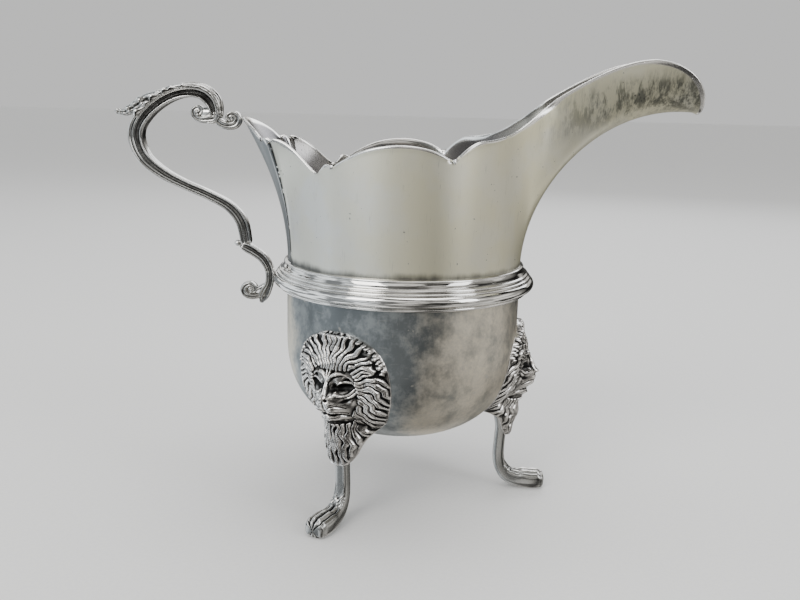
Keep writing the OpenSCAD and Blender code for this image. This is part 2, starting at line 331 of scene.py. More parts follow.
@dataclass(frozen=True)
class SatinSheet:
    """Worn sheet silver with fine upright brushing and a tarnish line at its foot; painted shade
    right of the middle and on the inner face, painted cool light on the left and painted glints on
    raised edges.
    """

    name: str = "satin_silver"
    clean: tuple[float, float, float] = (0.94, 0.905, 0.69)
    cool: tuple[float, float, float] = (0.93, 0.935, 0.9)
    shaded: tuple[float, float, float] = (0.42, 0.4, 0.31)
    tarnish: tuple[float, float, float] = (0.09, 0.095, 0.088)
    # pale colour of raised edges: wear, and painted glints
    edge: tuple[float, float, float] = (0.9, 0.89, 0.87)
    # painted shade and dark reflection on the inner face
    inside_shade: tuple[float, float, float] = (0.2, 0.19, 0.2)
    foot: tuple[float, float, float] = (0.07, 0.072, 0.075)
    gap: tuple[float, float, float] = (0.02, 0.02, 0.02)
    # height of the tarnish line at the foot, and where the spout's patch starts
    foot_z: float = 80.1
    spout_x: float = 48.0
    # middle of that patch: its height far out, and how it falls towards the bowl
    line_z: float = 136.0
    line_drop: float = 8.5
    line_x: float = 52.0
    line_run: float = 18.0
    grain: float = 0.03

    def build(self) -> bpy.types.Material:
        """The material of the upper wall and the back panel."""
        w = Wires.material(self.name)
        where = w.space()
        parts = w.add("ShaderNodeSeparateXYZ", {}, {0: where})
        x, z = parts.out(0), parts.out(2)
        brushed = w.noise(w.space((1.9, 1.9, 0.11)), 0.55, 3.0)
        streak = w.noise(w.space((1.25, 1.25, 0.42)), 2.6, 6.0, 0.68)
        band = w.noise(w.space((0.5, 0.5, 1.0)), 9.0, 2.0)
        cloud = w.noise(where, 17.0, 3.0)
        pits = w.noise(where, 0.9, 0.5).ramp(0.79, 0.82)
        foot = (z - self.foot_z + cloud * 5.0 - 1.6 + streak * 1.6).ramp(0.2, 2.9)
        foot = (1 - foot) * 0.9
        reach = x - self.spout_x
        fall = ((self.line_x - x) * (1 / self.line_run)).math("EXPONENT")
        line = self.line_z - fall * self.line_drop
        middle = 1 - (z - line + (cloud - 0.5) * 9.0).math("ABSOLUTE").ramp(2.0, 8.5)
        spout = reach.ramp(-14.0, 16.0) * middle
        grime = (streak * 0.75 + brushed * 0.25 + band * 0.2).ramp(0.52, 0.68)
        patch = spout * (grime * 0.75 + 0.25)
        speck = (streak * 0.5 + brushed * 0.5).ramp(0.56, 0.7) * 0.25
        shade = x.ramp(6.0, 24.0) * (1 - x.ramp(30.0, 38.0)) * 0.42
        # cooler tone, partly at random and partly painted cool light on the left side
        lean = (cloud.ramp(0.42, 0.66) * 0.4 + (-1 * x).ramp(-8.0, 26.0) * 0.7).clamp()
        colour = w.mix(lean, self.clean, self.cool)
        colour = w.mix(shade, colour, self.shaded)
        colour = w.mix((patch * 0.85 + speck + pits * 0.8).clamp(), colour, self.tarnish)
        colour = w.mix(foot, colour, self.foot)
        # the inner face is darkened with painted shade and dark reflection
        inside = w.attribute("inside")
        colour = w.mix(inside * (0.6 + cloud * 0.4), colour, self.inside_shade)
        near = w.attribute("seam")
        solder = w.noise(where, 1.4, 2.0)
        # raised edges turn pale: wear, and painted glints
        rub_and_glint = w.attribute("relief").ramp(0.12, 0.5)
        colour = w.mix(rub_and_glint, colour, self.edge)
        gap = (1 - near.ramp(0.4, 1.0)) * (1 - solder.ramp(0.58, 0.64))
        colour = w.mix(gap, colour, self.gap)
        rough = 0.37 + brushed * 0.12 + patch * 0.08 - rub_and_glint * 0.24 - inside * 0.2
        height = brushed * 0.6 + streak * 0.4 - pits * 0.8
        return w.finish(colour, rough, height, self.grain)


@dataclass(frozen=True)
class TarnishedSheet:
    """Darkened sheet silver with pale patches, scratches and spots; the pale patches are partly
    rubbing and partly painted light.
    """

    name: str = "tarnished_silver"
    dark: tuple[float, float, float] = (0.21, 0.23, 0.24)
    middle: tuple[float, float, float] = (0.38, 0.405, 0.415)
    # pale colour of patches of rubbing and of painted light
    pale: tuple[float, float, float] = (0.92, 0.84, 0.69)
    scratch: tuple[float, float, float] = (0.62, 0.6, 0.55)
    # height where the rounded bottom starts
    under_z: float = 66.0
    grain: float = 0.03

    def build(self) -> bpy.types.Material:
        """The material of the bowl."""
        w = Wires.material(self.name)
        where = w.space()
        parts = w.add("ShaderNodeSeparateXYZ", {}, {0: where})
        x, z = parts.out(0), parts.out(2)
        cloud = w.noise(where, 21.0, 5.0, 0.55)
        mottle = w.noise(w.space((1, 1, 0.8)), 4.2, 6.0, 0.72)
        fine = w.noise(where, 0.8, 3.0)
        scratch_a = w.noise(w.space((0.16, 0.16, 3.4), 20), 0.9, 2.0)
        scratch_b = w.noise(w.space((2.8, 2.8, 0.2)), 1.0, 2.0)
        lines = (scratch_a.ramp(0.67, 0.75) + scratch_b.ramp(0.69, 0.77)).clamp()
        spots = w.noise(where, 2.2, 0.6).ramp(0.765, 0.78)
        under = (z - self.under_z).ramp(-7.0, 6.0)
        # painted light: paler at the left edge and towards the right side, on top of random patches
        # of rubbing
        edge = (x * x).ramp(1000.0, 1300.0) * (-1 * x).ramp(0.0, 20.0) * 0.15
        rubbed_and_lit = cloud * 0.6 + mottle * 0.25 + x.ramp(-6.0, 14.0) * 0.23 - under * 0.05
        rubbed_and_lit = (rubbed_and_lit + edge).ramp(0.46, 0.68)
        colour = w.mix((mottle * 0.6 + cloud * 0.4).ramp(0.42, 0.6), self.dark, self.middle)
        colour = w.mix(rubbed_and_lit * (0.5 + fine * 0.5).clamp(), colour, self.pale)
        colour = w.mix(lines * 0.35 + spots * 0.6, colour, self.scratch)
        rough = 0.33 + mottle * 0.16 + rubbed_and_lit * 0.06
        height = mottle * 0.5 + fine * 0.3 + lines * 0.2
        return w.finish(colour, rough, height, self.grain)


@dataclass(frozen=True)
class Castings:
    """Cast silver whose hollows are dark with oxide and painted shade, and whose ridges are pale
    with rubbing and painted highlights.

    The hollows are dark below the relief hollow_from and clear of it above hollow_to.
    """

    name: str
    bright: tuple[float, float, float]
    body: tuple[float, float, float]
    hollow: tuple[float, float, float]
    hollow_from: float
    hollow_to: float
    roughness: float
    grain: float = 0.02

    def build(self) -> bpy.types.Material:
        """The material of a casting."""
        w = Wires.material(self.name)
        where = w.space()
        relief = w.attribute("relief")
        cloud = w.noise(where, 6.0, 4.0)
        fine = w.noise(where, 0.55, 4.0, 0.6)
        # dark hollows: oxide, and painted shade
        dark = (relief + (fine - 0.5) * 0.35 + (cloud - 0.5) * 0.3).ramp(
            self.hollow_from, self.hollow_to
        )
        # pale ridges: rubbing, and painted highlights
        rub_and_glint = (relief + (fine - 0.5) * 0.3).ramp(0.1, 0.6)
        colour = w.mix(rub_and_glint, self.body, self.bright)
        colour = w.mix(1 - dark, colour, self.hollow)
        rough = self.roughness + (1 - dark) * 0.25 + (cloud - 0.5) * 0.08
        return w.finish(colour, rough, fine * 0.6 + cloud * 0.4, self.grain)


PANEL = SatinSheet(name="panel_silver", clean=(0.3, 0.315, 0.322), cool=(0.25, 0.265, 0.275))
# in each casting, hollow is oxide with painted shade, and bright is rubbing with painted highlights
POLISHED = Castings(
    name="bright_silver",
    bright=(0.97, 0.96, 0.94),
    body=(0.56, 0.555, 0.54),
    hollow=(0.03, 0.029, 0.028),
    hollow_from=-0.36,
    hollow_to=0.1,
    roughness=0.1,
)
OXIDISED = Castings(
    name="oxidised_silver",
    bright=(0.96, 0.94, 0.92),
    body=(0.62, 0.6, 0.58),
    hollow=(0.015, 0.015, 0.015),
    hollow_from=-0.28,
    hollow_to=0.28,
    roughness=0.14,
)
RINGED = Castings(
    name="girdle_silver",
    bright=(0.97, 0.96, 0.94),
    body=(0.66, 0.65, 0.63),
    hollow=(0.02, 0.019, 0.018),
    hollow_from=-0.26,
    hollow_to=0.08,
    roughness=0.06,
    grain=0.01,
)
CAST = Castings(
    name="cast_silver",
    bright=(0.93, 0.92, 0.9),
    body=(0.42, 0.42, 0.41),
    hollow=(0.02, 0.02, 0.02),
    hollow_from=-0.45,
    hollow_to=0.05,
    roughness=0.22,
)


# ------------------------------------------------------------------ making


@dataclass
class Bench:
    """Turns finished shapes into pieces of the scene."""

    triangles: int = 0

    # the wider surroundings: how many times the passes, and their weight
    WIDER = 8
    WIDER_SHARE = 0.3

    @staticmethod
    def form(columns: int, rows: int, place: Place) -> bmesh.types.BMesh:
        """A grid of faces laid on a formula.

        Args:
            columns: Faces across.
            rows: Faces along.
            place: Gives points in millimetres for u and v, both from 0 to 1.

        Returns:
            The mesh, with points that fall together merged.
        """
        bm = bmesh.new()
        bmesh.ops.create_grid(bm, x_segments=columns, y_segments=rows, size=0.5)
        flat = np.array([v.co[:2] for v in bm.verts]) + 0.5
        for vert, point in zip(bm.verts, place(flat[:, 0], flat[:, 1]) * MM):
            vert.co = point
        bmesh.ops.remove_doubles(bm, verts=bm.verts[:], dist=SAME_POINT)
        bmesh.ops.dissolve_degenerate(bm, edges=bm.edges[:], dist=SAME_EDGE)
        return bm

    @staticmethod
    def turn(profile: Sequence[Sequence[float]], steps: int) -> bmesh.types.BMesh:
        """A profile of (radius, height) in millimetres, turned round Z.

        Args:
            profile: The profile's points in order.
            steps: Faces round the axis.

        Returns:
            The turned mesh.
        """
        bm = bmesh.new()
        verts = [bm.verts.new((r * MM, 0, z * MM)) for r, z in profile]
        edges = [bm.edges.new(pair) for pair in zip(verts, verts[1:])]
        bmesh.ops.spin(
            bm,
            geom=verts + edges,
            cent=(0, 0, 0),
            axis=(0, 0, 1),
            angle=math.tau,
            steps=steps,
            use_merge=True,
        )
        bmesh.ops.remove_doubles(bm, verts=bm.verts[:], dist=SAME_TURNED)
        return bm

    @staticmethod
    def read(mesh: bpy.types.Mesh) -> tuple[Array, Array]:
        """Points and normals of a mesh.

        Args:
            mesh: The mesh.

        Returns:
            Its points in metres and its normals, one row each.
        """
        points = np.empty(len(mesh.vertices) * 3)
        normals = np.empty(len(mesh.vertices) * 3)
        mesh.vertices.foreach_get("co", points)
        mesh.vertex_normals.foreach_get("vector", normals)
        return points.reshape(-1, 3), normals.reshape(-1, 3)

    @staticmethod
    def mark_relief(mesh: bpy.types.Mesh, passes: int, depth: float, broad: float = 0.0) -> None:
        """Stores how far each point stands above its surroundings, as the attribute relief.

        Args:
            mesh: The mesh.
            passes: How many times the surroundings are averaged.
            depth: Height in millimetres that counts as 1.
            broad: Share of the height above wider surroundings.
        """
        count = len(mesh.vertices)
        points, normals = Bench.read(mesh)
        ends = np.empty(len(mesh.edges) * 2, dtype=np.int64)
        mesh.edges.foreach_get("vertices", ends)
        a, b = ends.reshape(-1, 2).T
        both, other = np.concatenate([a, b]), np.concatenate([b, a])
        degree = np.maximum(np.bincount(both, minlength=count), 1)
        around = points.copy()
        heights = []
        last = passes * Bench.WIDER
        for step in range(last):
            total = [np.bincount(both, around[other, k], count) for k in range(3)]
            around = 0.5 * around + 0.5 * np.stack(total, 1) / degree[:, None]
            if step + 1 in (passes, last):
                heights.append(((points - around) * normals).sum(1) / (depth * MM))
        height = heights[0] + Bench.WIDER_SHARE * heights[1] * broad
        Bench.store(mesh, "relief", np.clip(height, -1, 1))

    @staticmethod
    def store(mesh: bpy.types.Mesh, name: str, values: Array) -> None:
        """Stores one number a point as an attribute.

        Args:
            mesh: The mesh.
            name: The attribute's name.
            values: One value a point.
        """
        layer = mesh.attributes.new(name, "FLOAT", "POINT")
        layer.data.foreach_set("value", np.asarray(values, np.float32))

    def piece(
        self,
        bm: bmesh.types.BMesh,
        node: str,
        slot: Slot,
        material: bpy.types.Material,
        relief: tuple[float, ...] = (6, 0.2),
    ) -> bpy.types.Object:
        """Makes an object of a mesh and lets it stand for a node.

        Args:
            bm: The shape, which is freed.
            node: The node that it replaces and is named after.
            slot: Material slot of the record; not used.
            material: Its finish.
            relief: Passes, depth and, if wanted, broad for mark_relief.

        Returns:
            The object.
        """
        bmesh.ops.recalc_face_normals(bm, faces=bm.faces[:])
        name = f"{node}_look"
        mesh = bpy.data.meshes.new(name)
        bm.to_mesh(mesh)
        bm.free()
        mesh.shade_smooth()
        self.mark_relief(mesh, *relief)
        mesh.materials.append(material)
        thing = bpy.data.objects.new(name, mesh)
        bpy.context.scene.collection.objects.link(thing)
        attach(thing, "root")
        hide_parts(node)
        count = sum(len(p.vertices) - 2 for p in mesh.polygons)
        self.triangles += count
        LOG.info("%s stands for %s: %d triangles", name, node, count)
        return thing


# ------------------------------------------------------------- lower vessel


@dataclass
class Vessel:
    """The raised bowl and the girdle wire over its joint."""

    bench: Bench
    body_r: float = 38.4
    sheet: float = 0.9
    turn_z: float = 54.4
    drop: float = 32.9
    fullness: float = 2.43
    joint_z: float = 75.0
    bead_r: float = 43.0
    steps: int = 192

    STRAIGHT_Z = (58, 62, 66, 70)

    def radius(self, z: Array) -> Array:
        """Radius of the bowl's outer face at each height."""
        depth = np.clip((self.turn_z - np.asarray(z, float)) / self.drop, 0, 1)
        return self.body_r * (1 - depth**self.fullness) ** (1 / self.fullness)

    def curve(self, inset: float, count: int = 36) -> list[tuple[float, float]]:
        """Half section of the rounded bottom.

        Args:
            inset: How far inside the outer face it lies, in millimetres.
            count: Steps along it.

        Returns:
            Its points as radius and height, from the lowest one up.
        """
        points = []
        for i in range(count + 1):
            a = math.radians(90 * i / count)
            r = (self.body_r - inset) * math.sin(a) ** (2 / self.fullness)
            z = self.turn_z - (self.drop - inset) * math.cos(a) ** (2 / self.fullness)
            points.append((r, z))
        return points

    def bowl(self, material: bpy.types.Material) -> None:
        """Turns the bowl, both faces."""
        up = [(self.body_r, z) for z in (*self.STRAIGHT_Z, self.joint_z)]
        down = [(r - self.sheet, z) for r, z in reversed(up)]
        profile = self.curve(0) + up + down + self.curve(self.sheet)[::-1]
        turned = self.bench.turn(profile, self.steps)
        self.bench.piece(turned, "bowl", Slot.TARNISHED, material)

    def girdle(self, material: bpy.types.Material) -> None:
        """Turns the reeded girdle."""
        r, top = self.body_r, self.bead_r
        stops = [
            (r, 69.4), (r + 0.35, 69.55), (r + 1.5, 69.85), (r + 2.25, 70.25), (r + 2.3, 70.75),
            (r + 2.1, 71.1), (r + 2.75, 71.25), (r + 3.9, 71.7), (top - 0.12, 72.5), (top, 73.3),
            (top - 0.25, 74.1), (top - 0.85, 74.7), (top - 1.3, 74.85), (top - 1.15, 75.15),
            (top - 1.35, 75.55), (top - 1.85, 75.75), (top - 2.1, 75.85), (top - 1.95, 76.15),
            (top - 2.1, 76.55), (top - 2.6, 76.75), (r + 1.75, 77.1), (r + 1.35, 77.6),
            (r + 1.1, 78.1), (r + 0.98, 78.45), (r + 1.05, 78.65), (r + 0.95, 78.95),
            (r + 0.65, 79.12), (r + 0.25, 79.2), (r - 0.02, 79.3),
        ]
        fine = route(stops, np.linspace(0, len(stops) - 1, 150))
        back = [(r - 0.02, 77.0), (r - 0.02, 73.0), (r, 69.4)]
        profile = [tuple(p) for p in fine] + back
        turned = self.bench.turn(profile, self.steps)
        self.bench.piece(turned, "girdle", Slot.BRIGHT, material, (10, 0.16))


# --------------------------------------------------------------- upper wall


@dataclass
class UpperWall:
    """The wrapped wall with the lobed rim and spout, and the panel let in at the back."""

    bench: Bench
    vessel: Vessel
    flare_z: float = 78.3
    spout_reach: float = 92.6
    spout_floor_z: float = 128.2
    spout_top_z: float = 144.3
    spout_half_w: float = 9.3
    peak_reach: float = 52.8
    peak_z: float = 123.7
    rows: int = 46
    panel_columns: int = 30
    tip_round: int = 6
    seam_step: float = 0.3
    seam_reach: float = 3.0
    outer: Array = field(init=False)
    normals: Array = field(init=False)

    # how often the wall is evened out, how strongly, and how that fades towards the rim
    EVENINGS = 60
    EVENING = 0.5
    EVENING_END = 1.12
    EVENING_FADE = 0.35
    # control points of the flare: up from the foot, back from the rim and above it
    SPOUT_PULL = (28, 28.5, 4)
    BACK_PULL = (18.3, 7.3, -12.7)
    # middle of the rounded rim below its crest, and the rounding's rise
    TIP_SINK = 0.35
    TIP_RISE = 1.15
    # azimuth, and the power of height that a line climbs to the rim with
    CLIMB = [
        (0, 6), (3, 5), (5, 4.2), (5.6, 3.4), (6.2, 2.7), (7, 2.3), (9, 2), (13, 1.6),
        (20, 1.3), (30, 1.1), (45, 1), (125, 1), (140, 1.1), (160, 1.2), (180, 1),
    ]
    # azimuth at the rim, and the azimuth that its line starts from at the foot
    ROOT = [
        (0, 0), (7, 12), (10.7, 17), (18.6, 25), (36, 41), (68.7, 71),
        (120, 120), (154, 157.5), (157.2, 160), (180, 180),
    ]

    def __post_init__(self) -> None:
        """Works out the outer face and its normals."""
        rim = self.rim()
        self.outer = np.array([self.line(q) for q in rim])
        loop = self.outer[:-1]
        share = np.linspace(0, 1, self.outer.shape[1])[None, :, None]
        fade = np.clip(self.EVENING_END - share, 0, 1) ** self.EVENING_FADE
        ease = self.EVENING * fade * (share < 1)
        for _ in range(self.EVENINGS):
            mean = (np.roll(loop, 1, 0) + np.roll(loop, -1, 0)) / 2
            loop = loop + (mean - loop) * ease
        self.outer = np.concatenate([loop, loop[:1]])
        ahead = np.roll(self.outer[:-1], -1, 0)
        behind = np.roll(self.outer[:-1], 1, 0)
        across = ahead - behind
        across = np.concatenate([across, across[:1]])
        up = np.gradient(self.outer, axis=1)
        self.normals = rows_of(np.cross(across, up))

    def rim(self) -> Array:
        """The rim's points, from the peak round by way of the spout to the peak again.

        Returns:
            One row a point, with the same point first and last.
        """
        body = self.vessel.body_r
        tip = (self.spout_reach, 0, self.spout_floor_z)
        top = (76.2, self.spout_half_w, self.spout_top_z)
        slope = (46, 11, 132)
        shoulder = (22.5, 30.5, 118.9)
        notch = polar(68.7, body, 112.6)
        low = polar(123.5, 39, 110.1)
        tooth = polar(126.8, 39, 111.3)
        gap = polar(132.5, 38.8, 108.5)
        corner = polar(152.3, 45.4, 117.9)
        seam = polar(154, 46, 116.3)
        bump = polar(155.6, 47, 118)
        back = polar(157.2, 48, 116.9)
        peak = (-self.peak_reach, 0, self.peak_z)
        runs = [
            (tip, (94, 5.2, 128.4), (94.9, 9.2, 143), top, 34),
            (top, (66, 9.4, self.spout_top_z), (56, 9.7, 137.8), slope, 40),
            (slope, (39, 12.3, 126.6), (33, 22.5, 118.8), shoulder, 26),
            (shoulder, (19.5, 32.6, 118.9), (16.5, 34.2, 116.2), notch, 14),
            (notch, polar(80, 39.2, 119.2), polar(107, 39.5, 119.4), low, 44),
            (low, polar(124.6, 39, 111.2), polar(125.6, 39, 111.3), tooth, 7),
            (tooth, polar(128.5, 39, 111.2), polar(131, 38.8, 108.9), gap, 9),
            (gap, polar(138, 39, 109.3), polar(147, 41, 117.8), corner, 24),
            (corner, polar(153.2, 45.8, 117.8), polar(153.8, 45.9, 116.8), seam, 5),
            (seam, polar(154.4, 46.2, 117.6), polar(155, 46.6, 118.1), bump, 5),
            (bump, polar(156.3, 47.4, 118), polar(156.9, 47.8, 117.2), back, 5),
            (back, polar(160, 49.8, 121.2), (-self.peak_reach, 8, self.peak_z), peak, 20),
        ]
        half = [cubic(run[:4], np.arange(run[4]) / run[4]) for run in runs]
        half = np.concatenate([*half, [peak]])
        other = half[:0:-1] * (1, -1, 1)
        return np.concatenate([other, half])

    def flare(self, azimuth: float) -> Array:
        """The flare on one side.

        Args:
            azimuth: Angle off +X in degrees.

        Returns:
            Four control points as radius and height.
        """
        body, foot = self.vessel.body_r, self.flare_z
        if abs(azimuth) < 90:
            reach, top = self.spout_reach, self.spout_floor_z
            up, back, above = self.SPOUT_PULL
        else:
            reach, top = self.peak_reach, self.peak_z
            up, back, above = self.BACK_PULL
        return np.array([(body, foot), (body, foot + up), (reach - back, top + above), (reach, top)])

    @staticmethod
    def along(flare: Array, s: Array) -> Array:
        """Points on a flare, which goes on straight past its end.

        Args:
            flare: Its control points.
            s: Places along it, 1 at its end.

        Returns:
            Radius and height at each place.
        """
        s = np.asarray(s, float)
        extra = 3 * np.maximum(s - 1, 0)[..., None] * (flare[3] - flare[2])
        return cubic(flare, np.minimum(s, 1)) + extra

    def reached(self, flare: Array, radius: float) -> float:
        """Where along a flare it reaches a radius.

        Args:
            flare: Its control points.
            radius: The radius.

        Returns:
            The place, found by halving.
        """
        low, high = 0.0, 1.3
        halvings = 40
        for _ in range(halvings):
            middle = (low + high) / 2
            if self.along(flare, np.array(middle))[0] < radius:
                low = middle
            else:
                high = middle
        return (low + high) / 2

    def line(self, q: Array) -> Array:
        """One line up the outside of the wall.

        Args:
            q: The rim point where it ends.

        Returns:
            Its points from the foot up.
        """
        azimuth = math.degrees(math.atan2(q[1], q[0]))
        side = -1 if azimuth < 0 else 1
        flare = self.flare(azimuth)
        s = self.reached(flare, math.hypot(q[0], q[1]))
        rise = q[2] - self.along(flare, np.array(s))[1]
        power = table(self.CLIMB, abs(azimuth))
        root = side * table(self.ROOT, abs(azimuth))
        t = np.linspace(0, 1, self.rows)
        f = self.along(flare, s * t)
        a = np.radians(root + (azimuth - root) * t)
        points = np.stack([f[:, 0] * np.cos(a), f[:, 0] * np.sin(a), f[:, 1] + rise * t**power], 1)
        foot = polar(root, self.vessel.body_r, self.vessel.joint_z)
        return np.concatenate([[foot], points])

    def ring(self, columns: Array) -> Array:
        """The closed section of the sheet: up outside, over the rim, down inside.

        Args:
            columns: Numbers of the columns.

        Returns:
            The section's points for each column.
        """
        t = self.vessel.sheet
        outer, normal = self.outer[columns], self.normals[columns].copy()
        normal[:, 0, 2] = 0
        normal = rows_of(normal)
        up = rows_of(outer[:, -1] - outer[:, -2])
        middle = outer[:, -1] - normal[:, -1] * t / 2 - up * t * self.TIP_SINK
        over = []
        for k in range(1, self.tip_round):
            a = math.pi * k / self.tip_round
            lean = normal[:, -1] * math.cos(a) + up * math.sin(a) * self.TIP_RISE
            over.append(middle + t / 2 * lean)
        body = outer.copy()
        body[:, -1] -= up * t * self.TIP_SINK
        inner = body - normal * t
        return np.concatenate([body, np.stack(over, 1), inner[:, ::-1], body[:, :1]], 1)

    def sheet_mesh(self, columns: Array, seam_step: float) -> bmesh.types.BMesh:
        """A closed piece of sheet over some columns of the wall.

        Args:
            columns: Numbers of the columns.
            seam_step: How far the sheet stands out at its two ends, in millimetres.

        Returns:
            The mesh.
        """
        grid = self.ring(columns)
        count = len(columns)
        near = np.minimum(np.arange(count), np.arange(count)[::-1])
        lift = seam_step * np.clip(1 - near / 4.0, 0, 1) ** 0.5
        normal = self.normals[columns][:, self.rows // 2]
        normal = rows_of(normal * (1, 1, 0))
        grid = grid + (lift[:, None] * normal)[:, None, :]
        rows = grid.shape[1]
        depth = self.rows + 1
        half = self.tip_round - 1
        mirror = np.arange(rows)
        mirror = (2 * depth + half - 1 - mirror) % (2 * depth + half)
        first = (grid[:1] + grid[:1][:, mirror]) / 2
        last = (grid[-1:] + grid[-1:][:, mirror]) / 2
        grid = np.concatenate([first, grid, last])

        def place(u: Array, v: Array) -> Array:
            """The grid's own points."""
            i = np.rint(u * (len(grid) - 1)).astype(int)
            j = np.rint(v * (rows - 1)).astype(int)
            return grid[i, j]

        return self.bench.form(len(grid) - 1, rows - 1, place)

    def build(self, wall_finish: bpy.types.Material, panel_finish: bpy.types.Material) -> None:
        """Makes the wall and the panel.

        Args:
            wall_finish: The material of the wall.
            panel_finish: The material of the back panel.
        """
        count = len(self.outer)
        keep = np.arange(self.panel_columns, count - self.panel_columns)
        panel = np.arange(count - 1 - self.panel_columns, count + self.panel_columns) % (count - 1)
        lines = self.outer[[keep[0], keep[-1]]].reshape(-1, 3)
        sheets = (
            ("upper_wall", keep, self.seam_step, wall_finish),
            ("back_panel", panel, -self.seam_step, panel_finish),
        )
        for name, columns, step, material in sheets:
            thing = self.bench.piece(
                self.sheet_mesh(columns, step), name, Slot.SATIN, material, (5, 0.12)
            )
            mesh = thing.data
            points, normals = Bench.read(mesh)
            points = points / MM
            away = np.full(len(points), self.seam_reach**2)
            gaps = lines[1:] - lines[:-1]
            fine = np.concatenate([lines[:-1] + gaps * k for k in (0, 0.34, 0.67)])
            for point in fine:
                away = np.minimum(away, ((points - point) ** 2).sum(1))
            Bench.store(mesh, "seam", np.minimum(np.sqrt(away), self.seam_reach))
            # the inner face, which the finish darkens with painted shade
            radial = rows_of(points * (1, 1, 0))
            outward = (radial * normals).sum(1) - 0.5 * normals[:, 2]
            Bench.store(mesh, "inside", (outward < 0).astype(float))


# ------------------------------------------------------------------- handle


@dataclass
class Handle:
    """The cast scroll handle: bars swept in the plane y = 0.

    Every stop is x, z, half thickness and half width.
    """

    bench: Bench
    caps: int = 8

    SCROLL = [
        (-64.2, 122.8, 1.0, 2.4), (-62.0, 123.3, 1.5, 2.6), (-61.4, 125.6, 1.9, 2.9),
        (-62.5, 129.0, 2.3, 3.2), (-65.9, 131.6, 2.3, 3.4), (-71, 132.0, 2.2, 3.5),
        (-77, 130.1, 2.2, 3.5), (-83, 125.8, 2.2, 3.4), (-86.9, 120.4, 2.2, 3.2),
        (-87.2, 115.2, 2.2, 3.0), (-84.6, 109.9, 1.95, 2.8), (-79, 105.4, 1.7, 2.6),
        (-72, 101.9, 1.5, 2.4), (-64.5, 98.8, 1.5, 2.3), (-57.6, 95.1, 1.6, 2.2),
        (-53.7, 90.2, 1.85, 2.1), (-52.3, 84.0, 1.75, 1.9),
    ]
    THUMB = [
        (-79.5, 130.4, 1.6, 3.3), (-83.6, 128.9, 2.1, 3.3), (-87.2, 126.6, 1.95, 3.0),
        (-90.3, 125.0, 1.4, 2.4), (-92.3, 124.8, 0.95, 1.7), (-93.3, 125.0, 0.95, 1.5),
    ]
    CURL = [
        (-61.8, 123.4, 1.4, 2.5), (-64.2, 123.0, 1.3, 2.5), (-66.6, 123.1, 1.2, 2.4),
        (-68.2, 124.1, 1.15, 2.3), (-68.4, 125.7, 1.1, 2.2), (-67.3, 126.6, 1.05, 2.2),
        (-66.2, 126.0, 1.05, 2.4), (-66.4, 125.1, 1.1, 2.6), (-67.0, 124.9, 1.1, 2.8),
    ]
    NECK = [
        (-61.5, 125.0, 1.0, 2.3), (-60.9, 122.9, 1.3, 2.4), (-59.3, 121.6, 1.4, 2.4),
        (-57.2, 121.2, 1.4, 2.4), (-55.3, 121.7, 1.4, 2.4), (-54.4, 123.1, 1.4, 2.4),
        (-55.0, 124.5, 1.3, 2.4), (-56.4, 124.8, 1.2, 2.5), (-57.2, 124.1, 1.15, 2.6),
        (-56.7, 123.4, 1.05, 2.7),
    ]
    LOWER = [
        (-53.2, 82.2, 1.2, 1.8), (-51.6, 81.5, 1.55, 2.0), (-49.6, 80.4, 1.5, 2.1),
        (-47, 78.5, 1.45, 2.1), (-45.2, 75.8, 1.4, 2.0), (-44.5, 72.8, 1.3, 1.9),
        (-44.8, 69.8, 1.3, 1.8), (-45.9, 67.3, 1.7, 1.7), (-46.8, 65.2, 1.65, 1.4),
        (-47.3, 63.8, 0.8, 0.9),
    ]
    TERMINAL = [
        (-46.4, 65.9, 0.8, 1.3), (-48.4, 65.5, 0.95, 1.7), (-50.7, 65.3, 1.1, 1.9),
        (-52.6, 66.0, 1.15, 2.0), (-53.3, 67.5, 1.15, 2.1), (-52.5, 68.9, 1.1, 2.1),
        (-50.8, 69.5, 0.9, 2.1), (-49.4, 68.5, 0.8, 2.0), (-49.6, 67.2, 0.75, 1.9),
        (-50.8, 67.1, 0.8, 1.9),
    ]
    WEBS = [
        [(-66.7, 125.1, 1.6, 1.6), (-65.2, 125.0, 1.9, 1.9), (-63.4, 125.2, 1.7, 2.1)],
        [(-56.5, 123.2, 1.5, 1.5), (-57.1, 123.8, 1.5, 1.5)],
        [(-50.4, 67.2, 1.5, 1.2), (-51.0, 67.7, 1.5, 1.2)],
    ]
    SPUR = [(-45.4, 69.7, 0.6, 1.3), (-46.8, 68.9, 0.75, 1.5), (-48.4, 68.0, 0.6, 1.5)]
    BUD = [
        (-55.2, 83.2, 1.0, 1.3), (-54.7, 83.25, 1.05, 1.3), (-53.8, 83.5, 0.65, 1.0),
        (-52.8, 83.8, 0.85, 1.2),
    ]
    # half of the scroll's section: across, outward first, and along y
    SECTION = [
        (1.0, 0.0), (1.02, 0.35), (1.0, 0.7), (0.9, 0.92), (0.74, 1.0), (0.58, 0.93),
        (0.5, 0.8), (0.42, 0.84), (0.3, 0.93), (0.14, 0.9), (0.03, 0.76), (-0.12, 0.64),
        (-0.34, 0.6), (-0.54, 0.68), (-0.66, 0.86), (-0.78, 1.0), (-0.92, 1.0), (-1.0, 0.86),
        (-0.93, 0.55), (-0.88, 0.25), (-0.86, 0.0),
    ]

    @staticmethod
    def frames(stops: Sequence[Sequence[float]], t: Array) -> tuple[Array, ...]:
        """Centre, outward direction and sizes of a bar at each t.

        Args:
            stops: Stops of x, z, half thickness and half width.
            t: Places along the route.

        Returns:
            Centres, across vectors (both x, z), half thickness, half width and tangents.
        """
        here = route(stops, t)
        last = len(stops) - 1
        near = 0.01
        step = route(stops, np.minimum(t + near, last)) - route(stops, np.maximum(t - near, 0))
        tangent = rows_of(step[:, :2])
        across = np.stack([tangent[:, 1], -tangent[:, 0]], 1)
        return here[:, :2], across, here[:, 2], here[:, 3], tangent

